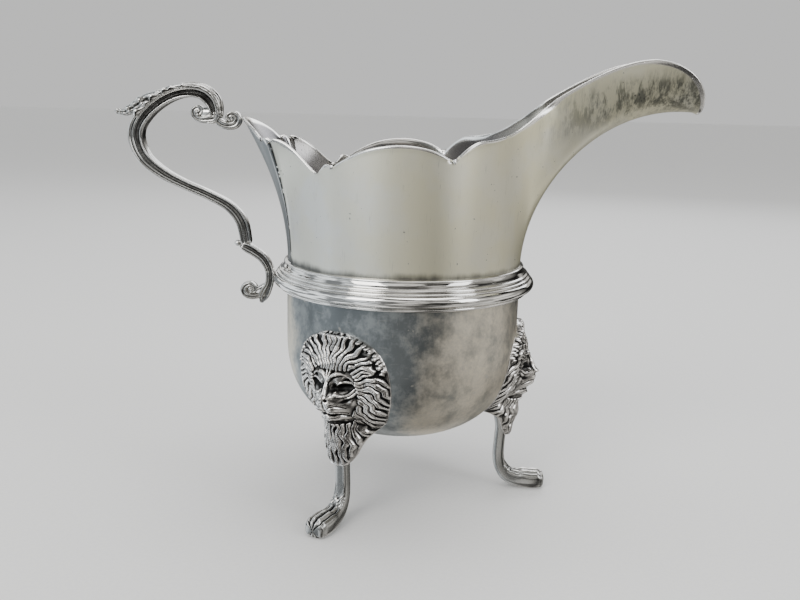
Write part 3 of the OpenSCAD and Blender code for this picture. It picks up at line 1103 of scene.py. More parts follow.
    def bar(
        self,
        stops: Sequence[Sequence[float]],
        section: Callable[[Array, Array], tuple[Array, Array]],
        along: int,
        around: int,
        start: float = 0.0,
        end: float | None = None,
    ) -> bmesh.types.BMesh:
        """Sweeps a section along a route and rounds off its ends.

        Args:
            stops: Stops of the bar.
            section: Gives unit positions, across and along y, for the angle share and t.
            along: Faces along the route.
            around: Faces round the section.
            start: Where on the route the bar starts.
            end: Where it ends, at the last stop if None.

        Returns:
            The mesh.
        """
        end = len(stops) - 1 if end is None else end
        caps = self.caps

        def place(u: Array, v: Array) -> Array:
            """Points round the section, along the route and over its two rounded ends."""
            k = np.rint(u * (along + 2 * caps)).astype(int)
            t = start + (end - start) * np.clip(k - caps, 0, along) / along
            centre, across, thick, wide, tangent = self.frames(stops, t)
            n, y = section(v % 1.0, t)
            before = np.clip((caps - k) / caps, 0, 1)
            after = np.clip((k - caps - along) / caps, 0, 1)
            turned = np.sin(np.maximum(before, after) * math.pi / 2)
            shrink = np.cos(np.maximum(before, after) * math.pi / 2)
            push = np.where(after > 0, turned, -turned) * thick
            centre = centre + tangent * push[:, None]
            x = centre[:, 0] + across[:, 0] * thick * n * shrink
            z = centre[:, 1] + across[:, 1] * thick * n * shrink
            return np.stack([x, wide * y * shrink, z], 1)

        return self.bench.form(along + 2 * caps, around, place)

    @staticmethod
    def plain(v: Array, t: Array) -> tuple[Array, Array]:
        """A plain ellipse, the same at every t."""
        return np.cos(math.tau * v), np.sin(math.tau * v)

    def moulded(self, v: Array, t: Array) -> tuple[Array, Array]:
        """The scroll's section: beads at both edges, a hollow side and a hollow inner face.

        Args:
            v: Shares of the way round.
            t: Places along the route; not used, as the section is always the same.

        Returns:
            Unit positions across and along y.
        """
        last = len(self.SECTION) - 1
        side = np.where(v < 0.5, 1.0, -1.0)
        w = np.where(v < 0.5, v * 2, (1 - v) * 2) * last
        p = route(self.SECTION, w)
        return p[:, 0], p[:, 1] * side

    @staticmethod
    def volute(v: Array, t: Array) -> tuple[Array, Array]:
        """A volute's section: a rounded strap with a raised rim and a step on each side.

        Args:
            v: Shares of the way round.
            t: Places along the route; not used, as the section is always the same.

        Returns:
            Unit positions across and along y.
        """
        a = math.tau * v
        n, y = np.cos(a), np.sin(a)
        n = np.sign(n) * np.abs(n) ** 0.8
        rim = 0.1 * np.exp(-(((np.abs(n) - 0.72) / 0.2) ** 2))
        step = 0.14 * np.exp(-((n / 0.35) ** 2))
        return n, y * (0.95 + (rim - step))

    def leaf_section(self, v: Array, t: Array) -> tuple[Array, Array]:
        """The leaf's section: flutes at the shoulder, then a midrib and a lumpy rolled edge.

        Args:
            v: Shares of the way round.
            t: Places along the route.

        Returns:
            Unit positions across and along y.
        """
        a = math.tau * v
        c, s = np.cos(a), np.sin(a)
        top = np.maximum(c, 0)
        shoulder = 1 - smooth(4.2, 6.2, t)
        lumps = np.sin(7.9 * t) * 0.6 + np.sin(13.7 * t + 1.3) * 0.45
        lumps = lumps + np.sin(21.3 * t + 0.5) * 0.2
        edge = np.exp(-(((np.abs(s) - 0.93) / 0.16) ** 2)) * (c > -0.35)
        flutes = np.cos(8 * a) * 0.085 * shoulder * (np.abs(s) > 0.2)
        rib = np.exp(-(((a + math.pi) % math.tau - math.pi) ** 2) / 0.05)
        veins = 0.045 * np.cos(5 * a + 2.2 * np.abs(s) * np.sin(6.3 * t)) * (1 - shoulder) * top
        rolled = edge * (0.16 + 0.3 * lumps) * (1 - 0.8 * shoulder)
        n = 0.5 + 0.62 * top + 0.08 * rib + veins + rolled
        n = n + 0.35 * np.minimum(c, 0)
        y = s * (1.02 + 0.1 * (1 + lumps) * (1 - 0.7 * shoulder))
        return n + flutes * c, y * (1 + flutes)

    @staticmethod
    def thumb_section(v: Array, t: Array) -> tuple[Array, Array]:
        """The thumb piece's section: a rounded back that swells slowly, over hollow sides.

        Args:
            v: Shares of the way round.
            t: Places along the route.

        Returns:
            Unit positions across and along y.
        """
        a = math.tau * v
        n, y = np.cos(a), np.sin(a)
        swell = 0.07 * np.sin(5.3 * t) + 0.05 * np.sin(9.7 * t + 1.0)
        side = 0.2 * np.exp(-(((n + 0.05) / 0.22) ** 2))
        return n * (1 + swell * (n > 0)), y * (1 + swell - side)

    @staticmethod
    def joined(parts: Sequence[bmesh.types.BMesh]) -> bmesh.types.BMesh:
        """One mesh of several.

        Args:
            parts: The meshes, which are freed.

        Returns:
            The mesh that holds them all.
        """
        bm = bmesh.new()
        for part in parts:
            mesh = bpy.data.meshes.new("part")
            part.to_mesh(mesh)
            part.free()
            bm.from_mesh(mesh)
            bpy.data.meshes.remove(mesh)
        return bm

    def build(self, material: bpy.types.Material) -> None:
        """Makes every piece of the handle."""
        pieces = {
            "handle_scroll": [self.bar(self.SCROLL, self.moulded, 300, 120, 0.3)],
            "handle_leaf": [
                self.bar(self.SCROLL, self.leaf_section, 240, 120, 1.0, 7.4),
                self.bar(self.THUMB, self.thumb_section, 110, 96),
            ],
            "handle_curl": [
                self.bar(self.CURL, self.volute, 130, 72),
                self.bar(self.WEBS[0], self.plain, 8, 40),
            ],
            "handle_neck": [
                self.bar(self.NECK, self.volute, 140, 72),
                self.bar(self.WEBS[1], self.plain, 8, 40),
            ],
            "handle_lower_scroll": [self.bar(self.LOWER, self.moulded, 150, 100)],
            "handle_bud": [self.bar(self.BUD, self.plain, 40, 40)],
            "handle_terminal": [
                self.bar(self.TERMINAL, self.volute, 140, 72),
                self.bar(self.SPUR, self.plain, 30, 40),
                self.bar(self.WEBS[2], self.plain, 8, 40),
            ],
        }
        for node, parts in pieces.items():
            self.bench.piece(self.joined(parts), node, Slot.BRIGHT, material, (8, 0.16))


# -------------------------------------------------------------------- masks


@dataclass
class LionMask:
    """A cast lion's face with a mane and beard, set on the bowl above a leg."""

    bench: Bench
    vessel: Vessel
    columns: int = 190
    rows: int = 230
    top_z: float = 61.3
    low_z: float = 17.6
    clear: float = 0.06
    curve_back: float = 0.06
    # the casting is stretched above the eyes and below the chin
    chin_z: float = 36.0
    eyes_z: float = 48.0
    # the small curls: their number, top, spacing, inset, radius and height
    curls: int = 13
    curl_z: float = 59.2
    curl_step: float = 0.75
    curl_inset: float = 1.1
    curl_r: float = 0.58
    curl_tall: float = 1.5

    LOCK_STEPS = 22
    LOCK_MARGIN = 1.3
    SPLIT_W = 0.28
    # height and half width of the outline
    WIDTH = [
        (61.3, 0.4), (61.2, 3.2), (60.5, 6.3), (59.1, 9.4), (57.5, 11.8), (55.5, 13.8),
        (53, 15.2), (49.8, 16.2), (46.6, 16.6), (43, 16.6), (39.4, 16.0), (36.4, 14.9),
        (34, 13.8), (32, 12.5), (30.5, 11.0), (29, 9.3), (27, 7.8), (25, 6.8), (22, 5.6),
        (20, 4.3), (18.6, 2.8), (17.9, 1.4), (17.6, 0.3),
    ]
    # height and reach of the middle line
    FACE = [
        (17.6, 36.8), (20, 37.5), (22.8, 38.4), (27.3, 39.8), (31.2, 39.9), (32.8, 41.4),
        (34.6, 42.9), (36.5, 43.7), (38.7, 44.9), (41.2, 45.9), (42.6, 45.9), (44.4, 44.9),
        (47.0, 43.6), (50.6, 42.3), (53.6, 41.7), (57.4, 40.4), (60.0, 39.4), (61.3, 38.6),
    ]
    # height, and the distance from the middle over which the face falls away
    FALL = [(17, 5.0), (26, 6.2), (31, 6.6), (34, 5.8), (38, 6.6), (42, 7.2), (48, 9.5), (61, 11.5)]
    # height and reach of the front of the leg
    BEHIND = [(17, 36.4), (27, 36.4), (35.2, 33.5), (36, 0)]
    # locks and ridges are stops of y, z, half width and height
    MANE = [
        [(7.9, 47.3, 0.5, 0.9), (11, 47.9, 0.75, 1.2),
         (14.2, 47.6, 0.8, 1.1), (16.3, 45.6, 0.5, 0.6)],
        [(8.1, 46.3, 0.5, 0.8), (11.2, 46.6, 0.7, 1.0),
         (13.8, 45.6, 0.75, 1.0), (16.2, 42.2, 0.5, 0.6)],
        [(8.3, 45.2, 0.5, 0.8), (11.0, 45.2, 0.75, 1.2), (13.4, 43.4, 0.85, 1.2),
         (14.6, 40.9, 0.7, 1.0), (15.9, 39.6, 0.45, 0.6)],
        [(8.2, 44.1, 0.5, 0.8), (10.2, 43.8, 0.7, 1.1), (12.1, 41.7, 0.8, 1.1),
         (13.1, 39.0, 0.75, 1.0), (15.2, 37.6, 0.45, 0.6)],
        [(7.9, 43.0, 0.5, 0.8), (9.4, 42.0, 0.7, 1.2), (11.0, 39.8, 0.8, 1.2),
         (11.7, 37.4, 0.75, 1.1), (14.2, 35.4, 0.45, 0.6)],
        [(7.6, 41.7, 0.5, 0.8), (8.8, 40.2, 0.7, 1.1), (9.9, 37.7, 0.8, 1.1),
         (10.9, 35.6, 0.7, 1.0), (13.4, 33.7, 0.4, 0.6)],
        [(7.2, 40.4, 0.5, 0.8), (7.9, 38.3, 0.7, 1.2), (8.6, 35.9, 0.8, 1.2),
         (9.8, 33.7, 0.7, 1.0), (12.2, 32.0, 0.4, 0.6)],
        [(6.9, 38.6, 0.5, 0.8), (7.1, 36.2, 0.7, 1.1), (7.4, 33.9, 0.75, 1.1),
         (8.8, 31.8, 0.7, 1.0), (11.0, 30.5, 0.4, 0.6)],
        [(6.3, 35.6, 0.4, 0.8), (6.3, 33.6, 0.65, 1.1), (7.0, 31.6, 0.7, 1.1),
         (8.2, 30.0, 0.6, 0.9), (9.6, 28.9, 0.35, 0.5)],
        [(8.4, 52.9, 0.5, 0.9), (11.2, 53.5, 0.6, 0.8),
         (14.2, 52.4, 0.6, 0.8), (15.6, 49.7, 0.4, 0.5)],
    ]
    CROWN = [
        [(0.35, 48.6, 0.35, 0.8), (0.5, 51.6, 0.5, 1.0), (0.9, 55.4, 0.65, 1.0),
         (1.6, 58.8, 0.65, 0.9), (2.4, 61.2, 0.6, 0.8)],
        [(0.2, 56.6, 0.4, 0.6), (0.2, 59.0, 0.5, 0.9), (0.5, 61.2, 0.5, 0.8)],
        [(1.0, 49.6, 0.35, 0.8), (1.5, 52.3, 0.55, 1.1), (2.3, 55.4, 0.7, 1.1),
         (3.6, 58.4, 0.7, 0.9), (4.9, 60.8, 0.65, 0.8)],
        [(2.1, 50.2, 0.35, 0.8), (2.7, 52.4, 0.55, 1.0), (3.9, 54.9, 0.7, 1.0),
         (5.6, 57.4, 0.7, 0.9), (7.3, 59.7, 0.6, 0.7)],
        [(3.2, 50.5, 0.35, 0.8), (4.1, 52.3, 0.55, 1.1), (5.6, 54.4, 0.7, 1.1),
         (7.5, 56.3, 0.65, 0.8), (9.4, 58.2, 0.5, 0.6)],
        [(4.5, 50.5, 0.35, 0.8), (5.5, 51.9, 0.5, 1.0), (7.1, 53.4, 0.6, 1.0),
         (9.2, 54.5, 0.55, 0.8), (11.6, 55.2, 0.3, 0.4)],
        [(5.6, 50.3, 0.3, 0.7), (6.9, 51.6, 0.45, 0.9), (8.6, 52.5, 0.5, 0.8)],
    ]
    EAR = [
        [(6.9, 49.6, 0.4, 1.3), (9.0, 51.6, 0.65, 1.9),
         (11.4, 51.9, 0.6, 1.8), (13.3, 50.4, 0.35, 1.1)],
        [(7.2, 49.0, 0.4, 1.3), (9.2, 50.4, 0.6, 1.7),
         (11.3, 50.7, 0.55, 1.6), (13.2, 50.1, 0.3, 1.1)],
        [(7.6, 48.5, 0.35, 1.2), (9.4, 49.3, 0.55, 1.6),
         (11.3, 49.5, 0.5, 1.5), (13.0, 49.7, 0.3, 1.1)],
    ]
    CRESCENT = [
        (9.8, 56.3, 0.35, 0.6), (11.6, 54.9, 0.6, 1.0),
        (13.2, 53.0, 0.6, 1.0), (14.6, 50.6, 0.4, 0.8),
    ]
    BEARD = [
        [(0.2, 32.6, 0.4, 0.9), (-0.3, 29.4, 0.7, 1.2), (0.4, 25.6, 0.8, 1.2),
         (-0.2, 21.6, 0.65, 0.9), (0.3, 18.6, 0.3, 0.4)],
        [(1.4, 32.6, 0.4, 0.9), (1.7, 29.6, 0.7, 1.3), (1.2, 26.4, 0.8, 1.3),
         (2.1, 22.6, 0.8, 1.0), (1.5, 19.3, 0.35, 0.5)],
        [(2.7, 32.6, 0.4, 0.9), (2.6, 30.0, 0.7, 1.2), (3.2, 26.8, 0.8, 1.2),
         (2.9, 23.6, 0.8, 1.0), (3.5, 20.4, 0.35, 0.5)],
        [(3.8, 32.7, 0.4, 0.9), (4.3, 30.2, 0.7, 1.3), (4.2, 27.6, 0.8, 1.2),
         (5.0, 24.6, 0.7, 0.9), (4.7, 21.9, 0.3, 0.4)],
        [(4.8, 33.0, 0.4, 0.9), (5.3, 31.2, 0.6, 1.1), (5.7, 29.0, 0.7, 1.1),
         (6.3, 26.8, 0.6, 0.8), (6.2, 24.5, 0.3, 0.4)],
        [(5.6, 33.6, 0.4, 0.9), (6.3, 31.4, 0.6, 1.1),
         (7.2, 29.4, 0.6, 0.9), (7.9, 27.9, 0.3, 0.4)],
    ]
    RIDGES = [
        [(0, 48.4, 0.35, 0.5), (0, 46.4, 0.5, 1.1), (0, 44.4, 0.65, 1.25), (0, 42.9, 1.05, 1.0)],
        [(2.6, 45.6, 0.3, 0.2), (4.2, 46.8, 0.32, 0.45),
         (6.2, 46.9, 0.32, 0.45), (8.0, 45.9, 0.3, 0.2)],
        [(2.4, 44.0, 0.3, 0.4), (4.5, 42.9, 0.36, 0.7), (6.3, 43.4, 0.42, 0.8),
         (7.4, 44.6, 0.4, 0.8), (8.2, 45.8, 0.3, 0.5)],
        [(5.6, 42.1, 0.25, 0.3), (6.9, 42.6, 0.33, 0.6),
         (7.9, 43.7, 0.33, 0.6), (8.6, 44.8, 0.25, 0.3)],
        [(0.4, 47.4, 0.4, 0.7), (1.5, 48.9, 0.6, 1.1), (3.4, 49.7, 0.75, 1.3),
         (5.6, 49.5, 0.7, 1.1), (7.2, 48.6, 0.4, 0.6)],
        [(0.1, 47.6, 0.3, 0.9), (0.5, 49.6, 0.3, 0.8), (0.7, 51.4, 0.25, 0.4)],
    ]
    GROOVES = [
        [(0, 41.2, 0.3, 0.6), (0, 39, 0.32, 0.7), (0, 37, 0.4, 0.8)],
        [(0, 37.2, 0.45, 1.2), (1.6, 36.6, 0.5, 1.3),
         (3.6, 36.7, 0.42, 1.1), (5.3, 35.7, 0.3, 0.6)],
        [(0, 33.1, 0.5, 0.9), (2.6, 33.2, 0.45, 0.8), (4.9, 34.2, 0.3, 0.5)],
        [(1.4, 39.2, 0.2, 0.25), (3.2, 39.9, 0.22, 0.35), (5.3, 38.9, 0.18, 0.25)],
        [(1.4, 37.6, 0.2, 0.25), (3.4, 37.9, 0.22, 0.35), (5.2, 36.9, 0.18, 0.25)],
        [(0.3, 35.2, 0.18, 0.2), (2.2, 35.5, 0.2, 0.3), (4.2, 34.9, 0.18, 0.2)],
    ]
    # bumps are a place, a spread, a tilt in degrees and a height
    BUMPS = [
        ((4.4, 45.1), (3.0, 1.3), 10, -2.3), ((5.0, 45.0), (0.95, 0.7), 8, 0.35),
        ((1.9, 45.2), (0.7, 1.6), 0, -1.0), ((6.7, 47.9), (1.8, 0.65), 8, -1.6),
        ((0.0, 42.3), (1.5, 0.8), 0, 0.8), ((1.0, 41.7), (0.42, 0.36), 0, -0.9),
        ((2.9, 38.7), (2.3, 1.4), -16, 1.8), ((1.5, 35.1), (2.5, 1.0), -6, 0.9),
        ((1.7, 40.7), (1.9, 0.8), -8, 0.7), ((5.6, 41.4), (1.6, 0.7), 24, -0.8),
        ((7.0, 40.2), (1.1, 1.6), 0, 0.5),
        ((6.8, 41.6), (1.2, 1.5), 0, 0.5), ((2.6, 43.2), (1.0, 0.9), 0, 0.4),
    ]

    def back(self, y: Array, z: Array) -> Array:
        """Reach of the mask's back: the bowl's face, and the front of the leg below it.

        Args:
            y: Positions across.
            z: Heights.

        Returns:
            Distances from the bowl's axis.
        """
        r = self.vessel.radius(z) + self.clear
        on_bowl = np.sqrt(np.maximum(r * r - y * y, 0))
        return np.maximum(on_bowl, table(self.BEHIND, z) + self.clear - self.curve_back * y * y)

    @staticmethod
    def bump(
        y: Array, z: Array, at: tuple[float, float], size: tuple[float, float], tilt: float = 0
    ) -> Array:
        """A round bump of height 1.

        Args:
            y: Positions across.
            z: Heights.
            at: Its middle.
            size: Its spread across and up.
            tilt: Its turn in degrees.

        Returns:
            Its height at each point.
        """
        c, s = math.cos(math.radians(tilt)), math.sin(math.radians(tilt))
        dy, dz = y - at[0], z - at[1]
        a, b = (dy * c + dz * s) / size[0], (dz * c - dy * s) / size[1]
        return np.exp(-(a * a + b * b))

    @staticmethod
    def lock(y: Array, z: Array, stops: Sequence[Sequence[float]], split: float = 0.0) -> Array:
        """A lock of hair along a route: a rounded ridge.

        Args:
            y: Positions across.
            z: Heights.
            stops: Stops of y, z, half width and height.
            split: Depth of the groove along its back, as a share of its height.

        Returns:
            The lock's height at each point, 0 off it.
        """
        best = np.zeros_like(y)
        path = route(stops, np.linspace(0, len(stops) - 1, LionMask.LOCK_STEPS))
        for a, b in zip(path, path[1:]):
            low = np.minimum(a[:2], b[:2]) - LionMask.LOCK_MARGIN
            high = np.maximum(a[:2], b[:2]) + LionMask.LOCK_MARGIN
            near = (y > low[0]) & (y < high[0]) & (z > low[1]) & (z < high[1])
            if not near.any():
                continue
            py, pz = y[near], z[near]
            d = b[:2] - a[:2]
            t = np.clip(((py - a[0]) * d[0] + (pz - a[1]) * d[1]) / max(d @ d, 1e-9), 0, 1)
            away = np.hypot(py - a[0] - t * d[0], pz - a[1] - t * d[1])
            share = away / (a[2] + (b[2] - a[2]) * t)
            tall = a[3] + (b[3] - a[3]) * t
            groove = split * np.exp(-((share / LionMask.SPLIT_W) ** 2))
            ridge = tall * np.sqrt(np.maximum(1 - share**2, 0)) * (1 - groove)
            best[near] = np.maximum(best[near], ridge)
        return best

    def strands(self, y: Array, z: Array, sets: Sequence[Any], split: float) -> Array:
        """The highest of several locks.

        Args:
            y: Positions across.
            z: Heights.
            sets: The stops of each lock.
            split: Depth of the groove along each, as a share of its height.

        Returns:
            Heights, 0 off all of them.
        """
        best = np.zeros_like(y)
        for stops in sets:
            best = np.maximum(best, self.lock(y, z, stops, split))
        return best

    def beads(self, y: Array, z: Array) -> Array:
        """Small curls along the upper edge.

        Args:
            y: Positions across, from the middle.
            z: Heights.

        Returns:
            Their height at each point.
        """
        best = np.zeros_like(y)
        heights = [k[0] for k in self.WIDTH][::-1]
        widths = [k[1] for k in self.WIDTH][::-1]
        for k in range(self.curls):
            at_z = self.curl_z - self.curl_step * k + 0.2 * math.sin(5.1 * k)
            edge = float(np.interp(at_z, heights, widths))
            at_y = edge - self.curl_inset - 0.3 * math.sin(3.3 * k)
            size = self.curl_r + 0.12 * math.sin(7.7 * k)
            best = np.maximum(best, self.curl_tall * self.bump(y, z, (at_y, at_z), (size, size)))
        return best

    def relief(self, y: Array, z: Array, share: Array) -> Array:
        """Height of the mask above its back.

        Args:
            y: Positions across.
            z: Heights.
            share: Distance out towards the outline, from 0 to 1.

        Returns:
            Heights in millimetres.
        """
        wander = smooth(6.5, 10.5, np.hypot(y, (z - 42.5) * 1.05))
        sideways = np.sin(z * 0.83 + y * 0.31) + 0.5 * np.sin(z * 1.9 - y * 0.7)
        upward = np.sin(y * 0.77 + 1.0) + 0.5 * np.sin(y * 1.7 + z * 0.5)
        warped_y = y + wander * 0.42 * sideways
        warped_z = z + wander * 0.42 * upward
        half = np.abs(y)
        heights = [k[0] for k in self.FACE]
        middle = route([(k[1],) for k in self.FACE], np.interp(z, heights, range(len(heights))))
        middle = middle[:, 0] - self.back(np.zeros_like(z), z)
        dome = middle * np.exp(-((half / table(self.FALL, z)) ** 2) * 0.9)
        plate = 0.45 + 1.35 * smooth(0.99, 0.8, share)
        base = np.maximum(dome, plate)
        hair = self.strands(np.abs(warped_y), warped_z, self.MANE + self.CROWN, 0.3)
        hair = np.maximum(hair, self.strands(np.abs(warped_y), warped_z, self.EAR, 0.0))
        hair = hair * (1 - 0.95 * self.lock(half, z, self.CRESCENT))
        hair = np.maximum(hair, self.beads(half, z))
        sway = y + 0.35 * np.sin(z * 0.9) + 0.2 * np.sin(z * 1.7 + y)
        beard = self.strands(np.abs(sway), z, self.BEARD, 0.25)
        hair = np.maximum(hair, beard)
        inside = np.maximum((half / 8.4) ** 2 + ((z - 42.4) / 8.2) ** 2, 0)
        face_on = smooth(1.1, 0.85, inside)
        face = self.strands(half, z, self.RIDGES, 0.0)
        for at, size, tilt, tall in self.BUMPS:
            face = face + tall * self.bump(half, z, at, size, tilt)
        for stops in self.GROOVES:
            face = face - self.lock(half, z, stops)
        rim = smooth(1.0, 0.955, share)
        total = base * 0.96 + (hair * (1 - face_on) + face * face_on) * rim
        return np.maximum(total * np.sqrt(np.maximum(1 - share**14, 0)), 0)

    def mesh(self, turn: float, lift: float, length: float) -> bmesh.types.BMesh:
        """The mask at a leg.

        Args:
            turn: Azimuth of the leg in degrees.
            lift: How far this casting is set above the others, in millimetres.
            length: Its length above the eyes and below the chin, against the drawn one.

        Returns:
            The closed mesh.
        """
        width_z = [k[0] for k in self.WIDTH][::-1]
        width_y = [k[1] for k in self.WIDTH][::-1]

        def place(u: Array, v: Array) -> Array:
            """The front for the first half of v, and the back for the second."""
            front = v <= 0.5
            w = np.where(front, v * 2, (1 - v) * 2)
            across = u * 2 - 1
            z = self.low_z + (self.top_z - self.low_z) * w
            y = np.interp(z, width_z, width_y) * across
            end = np.clip(np.minimum(w, 1 - w) / 0.02, 0, 1)
            share = np.maximum(np.abs(across), 1 - 0.1 * end)
            share = np.where(end < 1, share, np.abs(across))
            beyond = np.maximum(z - self.eyes_z, 0) - np.maximum(self.chin_z - z, 0)
            set_z = lift + np.clip(z, self.chin_z, self.eyes_z) + beyond * length
            x = self.back(y, set_z) + np.where(front, self.relief(y, z, share), 0)
            return at_azimuth(x, y, set_z, turn)

        return self.bench.form(self.columns, self.rows * 2, place)

    def build(
        self, node: str, turn: float, setting: tuple[float, float], material: bpy.types.Material
    ) -> None:
        """Makes the mask for one leg.

        Args:
            node: The node that it replaces.
            turn: Azimuth of the leg in degrees.
            setting: Its lift and length.
            material: Its finish.
        """
        mask = self.mesh(turn, *setting)
        self.bench.piece(mask, node, Slot.OXIDISED, material, (7, 0.22, 1.0))


# --------------------------------------------------------------------- feet


@dataclass
class LionFoot:
    """A leg that ends in a clawed paw with a flat sole."""

    bench: Bench
    along: int = 220
    around: int = 112
    caps: int = 22
    front_reach: float = 1.3
    groove_w: float = 0.42
    groove_depth: float = 0.95

    # stops of reach, height, half thickness and half width, from the bowl to the toes
    STOPS = [
        (31.6, 30.5, 1.5, 2.0), (33.9, 26.5, 1.75, 2.1), (34.9, 21.5, 1.8, 2.1),
        (34.7, 16, 1.8, 2.1), (34.6, 11.4, 1.9, 2.15), (35.4, 7.4, 2.1, 2.4),
        (37.8, 4.3, 2.45, 2.8), (41.2, 2.85, 2.75, 3.4), (45.0, 2.6, 3.1, 3.8),
        (47.8, 2.5, 3.0, 3.75), (49.3, 2.4, 2.6, 3.4),
    ]
    # grooves between the toes, in units that GAP_UNITS of make the half width
    GAPS = (-1.85, 0.05, 1.85)
    GAP_UNITS = 3.5

    def mesh(self, turn: float) -> bmesh.types.BMesh:
        """The leg and paw.

        Args:
            turn: Azimuth of the leg in degrees.

        Returns:
            The mesh.
        """

        def place(u: Array, v: Array) -> Array:
            """Points round the leg, down it and over the toes."""
            k = np.rint(u * (self.along + self.caps)).astype(int)
            t = np.clip(k, 0, self.along) / self.along * (len(self.STOPS) - 1)
            after = np.clip((k - self.along) / self.caps, 0, 1)
            centre, across, thick, wide, tangent = Handle.frames(self.STOPS, t)
            a = math.tau * v
            paw = smooth(5.4, 7.4, t)
            power = 0.5 + 0.22 * paw
            n, y = -np.cos(a), np.sin(a)
            under = power + (0.95 - power) * paw * (n > 0)
            n, y = np.sign(n) * np.abs(n) ** power, np.sign(y) * np.abs(y) ** under
            top = smooth(-0.35, 0.25, -n)
            lateral = y * wide
            places = [g * wide / self.GAP_UNITS for g in self.GAPS]
            gap = sum(np.exp(-(((lateral - at) / self.groove_w) ** 2)) for at in places)
            knuckle = np.exp(-(((t - 7.5) / 0.5) ** 2)) + 0.8 * np.exp(-(((t - 9.2) / 0.55) ** 2))
            lumps = np.sin(lateral * 4.1 + t * 3.3) * np.sin(t * 9.0 + lateral)
            ankle = np.exp(-(((t - 5.3) / 0.6) ** 2)) * top * lumps * 0.2
            lift = paw * top * (0.3 + 0.25 * knuckle - self.groove_depth * gap) + ankle
            turned = after * math.pi / 2
            shrink = np.maximum(np.cos(turned), 0) ** 0.55
            front = np.sin(turned) ** 0.9 * self.front_reach * (1 - 0.7 * gap)
            offset = (thick * n - lift) * shrink
            x = centre[:, 0] + across[:, 0] * offset + tangent[:, 0] * front
            z = centre[:, 1] + across[:, 1] * offset + tangent[:, 1] * front * 0.3
            z = np.maximum(z, 0)
            return at_azimuth(x, lateral * shrink, z, turn)

        return self.bench.form(self.along + self.caps, self.around, place)

    def build(self, node: str, turn: float, material: bpy.types.Material) -> None:
        """Makes the foot for one leg.

        Args:
            node: The node that it replaces.
            turn: Azimuth of the leg in degrees.
            material: Its finish.
        """
        self.bench.piece(self.mesh(turn), node, Slot.CAST, material, (9, 0.2))


# ------------------------------------------------------------------- studio


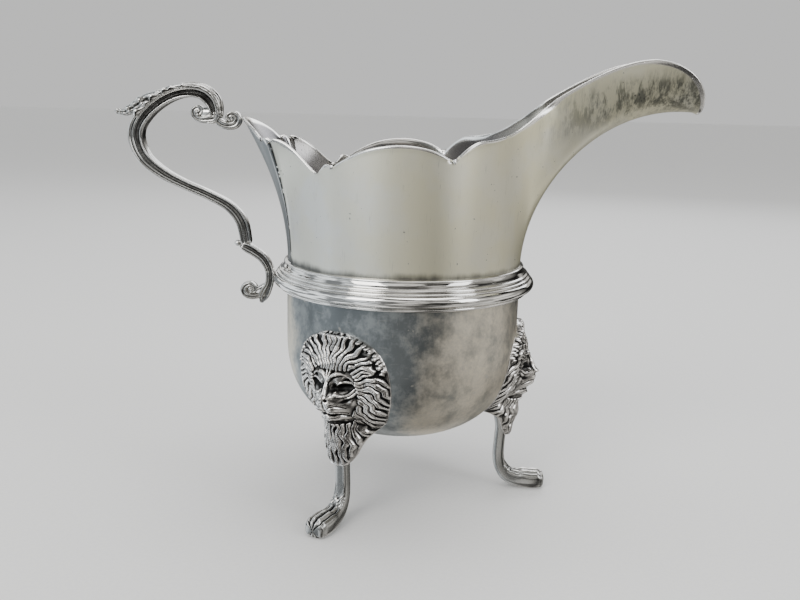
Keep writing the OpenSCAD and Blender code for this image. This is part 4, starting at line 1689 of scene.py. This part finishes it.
@dataclass
class Studio:
    """Floor, soft lights and camera.

    The eye is a place in millimetres, and heading, pitch and roll are in degrees.
    """

    floor_r: float = 40.0
    aim_z: float = 0.08
    lens: float = 39.28
    eye: tuple[float, float, float] = (0.95, -286.6, 126.4)
    heading: float = 0.37
    pitch: float = -12.06
    roll: float = 1.42

    def floor(self) -> None:
        """A wide pale floor."""
        bm = bmesh.new()
        bmesh.ops.create_circle(bm, cap_ends=True, segments=96, radius=self.floor_r)
        mesh = bpy.data.meshes.new("floor")
        bm.to_mesh(mesh)
        bm.free()
        w = Wires.material("floor_paper")
        where = w.space()
        grain = w.noise(where, 1.2, 3.0)
        colour = w.mix(grain.ramp(0.3, 0.7), (0.76, 0.76, 0.755), (0.79, 0.79, 0.785))
        w.finish(colour, grain * 0.1 + 0.6, grain, 0.02, 0.0)
        mesh.materials.append(w.owner)
        thing = bpy.data.objects.new("floor", mesh)
        bpy.context.scene.collection.objects.link(thing)
        thing.visible_glossy = False

    def camera(self) -> None:
        """The camera, turned by its heading, then its pitch, then its roll."""
        data = bpy.data.cameras.new("camera")
        data.lens = self.lens
        data.sensor_width = 36.0
        data.clip_start = 0.01
        thing = bpy.data.objects.new("camera", data)
        bpy.context.scene.collection.objects.link(thing)
        a, p, q = (math.radians(v) for v in (self.heading, self.pitch, self.roll))
        forward = Vector((-math.sin(a) * math.cos(p), math.cos(a) * math.cos(p), math.sin(p)))
        right = Vector((math.cos(a), math.sin(a), 0))
        up = right.cross(forward)
        across = right * math.cos(q) + up * math.sin(q)
        above = -right * math.sin(q) + up * math.cos(q)
        turn = Matrix((across, above, -forward)).transposed().to_4x4()
        thing.matrix_world = Matrix.Translation(Vector(self.eye) * MM) @ turn
        bpy.context.scene.camera = thing

    def lamp(
        self,
        name: str,
        at: Sequence[float],
        size: Sequence[float],
        power: float,
        colour: tuple[float, float, float] = (1, 1, 1),
    ) -> None:
        """A soft panel of light that faces the object.

        Args:
            name: Its name.
            at: Its place in metres.
            size: Its width and height in metres.
            power: Its power in watts.
            colour: Its colour.
        """
        data = bpy.data.lights.new(name, "AREA")
        data.shape = "RECTANGLE"
        data.size, data.size_y = size
        data.energy = power
        data.color = colour
        thing = bpy.data.objects.new(name, data)
        bpy.context.scene.collection.objects.link(thing)
        thing.location = at
        aim = Vector((0, 0, self.aim_z)) - Vector(at)
        thing.rotation_euler = aim.to_track_quat("-Z", "Y").to_euler()

    def sky(self) -> None:
        """Soft grey surroundings; the silver mirrors a room of dark and light patches."""
        world = bpy.data.worlds.new("studio")
        bpy.context.scene.world = world
        w = Wires(world)
        toward = w.add("ShaderNodeTexCoord").out("Generated")
        stretched = w.add("ShaderNodeMapping", {}, {"Vector": toward, "Scale": (1, 1, 1.7)}).out(0)
        patches = w.add(
            "ShaderNodeTexNoise", {}, {"Vector": stretched, "Scale": 1.9, "Detail": 2.5}
        ).out("Fac")
        x = w.add("ShaderNodeSeparateXYZ", {}, {0: toward}).out(0)
        left = 1 - x.ramp(-0.9, 0.7)
        side = x.ramp(0.68, 0.95) * 0.36
        bright = patches.ramp(0.46, 0.56) * (0.62 + left * 0.7) + 0.01 + left * 0.3 + side
        tint = w.mix(x.ramp(-0.7, 0.1), (0.9, 0.96, 1.0), (1.0, 0.975, 0.92))
        room = w.add("ShaderNodeBackground", {}, {0: tint, 1: bright})
        around = w.add("ShaderNodeBackground", {}, {0: (0.82, 0.82, 0.815, 1)})
        seen = w.add("ShaderNodeBackground", {}, {0: (0.69, 0.69, 0.685, 1)})
        path = w.add("ShaderNodeLightPath")
        lit = w.add(
            "ShaderNodeMixShader",
            {},
            {0: path.out("Is Glossy Ray"), 1: around.out(0), 2: room.out(0)},
        )
        both = w.add(
            "ShaderNodeMixShader", {}, {0: path.out("Is Camera Ray"), 1: lit.out(0), 2: seen.out(0)}
        )
        w.add("ShaderNodeOutputWorld", {}, {0: both.out(0)})

    def build(self) -> None:
        """Sets the whole studio."""
        self.floor()
        self.camera()
        self.sky()
        self.lamp("key", (-0.55, -0.75, 0.75), (0.5, 0.7), 6.0, (1.0, 0.985, 0.95))
        self.lamp("fill", (0.85, -0.55, 0.5), (0.35, 0.8), 3.0, (0.97, 0.985, 1.0))
        self.lamp("top", (0.1, 0.1, 1.1), (0.8, 0.6), 5.0)
        self.lamp("rim", (0.3, 0.95, 0.6), (0.9, 0.4), 3.0, (0.95, 0.97, 1.0))


# each leg's azimuth in degrees, and its mask's lift in millimetres and length
LEGS: dict[str, tuple[float, tuple[float, float]]] = {
    "front": (0.0, (-0.5, 0.92)),
    "left": (120.0, (0.4, 0.96)),
    "right": (-120.0, (0.9, 1.0)),
}


def main() -> None:
    """Builds every piece and the studio, and reports each."""
    logging.basicConfig(level=logging.INFO, format="%(name)s: %(message)s")
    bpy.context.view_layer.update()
    bench = Bench()
    satin = SatinSheet().build()
    tarnished = TarnishedSheet().build()
    polished = POLISHED.build()
    oxidised = OXIDISED.build()
    ringed = RINGED.build()
    panel = PANEL.build()
    cast = CAST.build()
    Studio().build()
    vessel = Vessel(bench)
    vessel.bowl(tarnished)
    vessel.girdle(ringed)
    UpperWall(bench, vessel).build(satin, panel)
    Handle(bench).build(polished)
    mask, foot = LionMask(bench, vessel), LionFoot(bench)
    for where, (turn, setting) in LEGS.items():
        mask.build(f"mask_{where}", turn, setting, oxidised)
        foot.build(f"foot_{where}", turn, cast)
    LOG.info("%d triangles in all", bench.triangles)


if __name__ == "__main__":
    main()
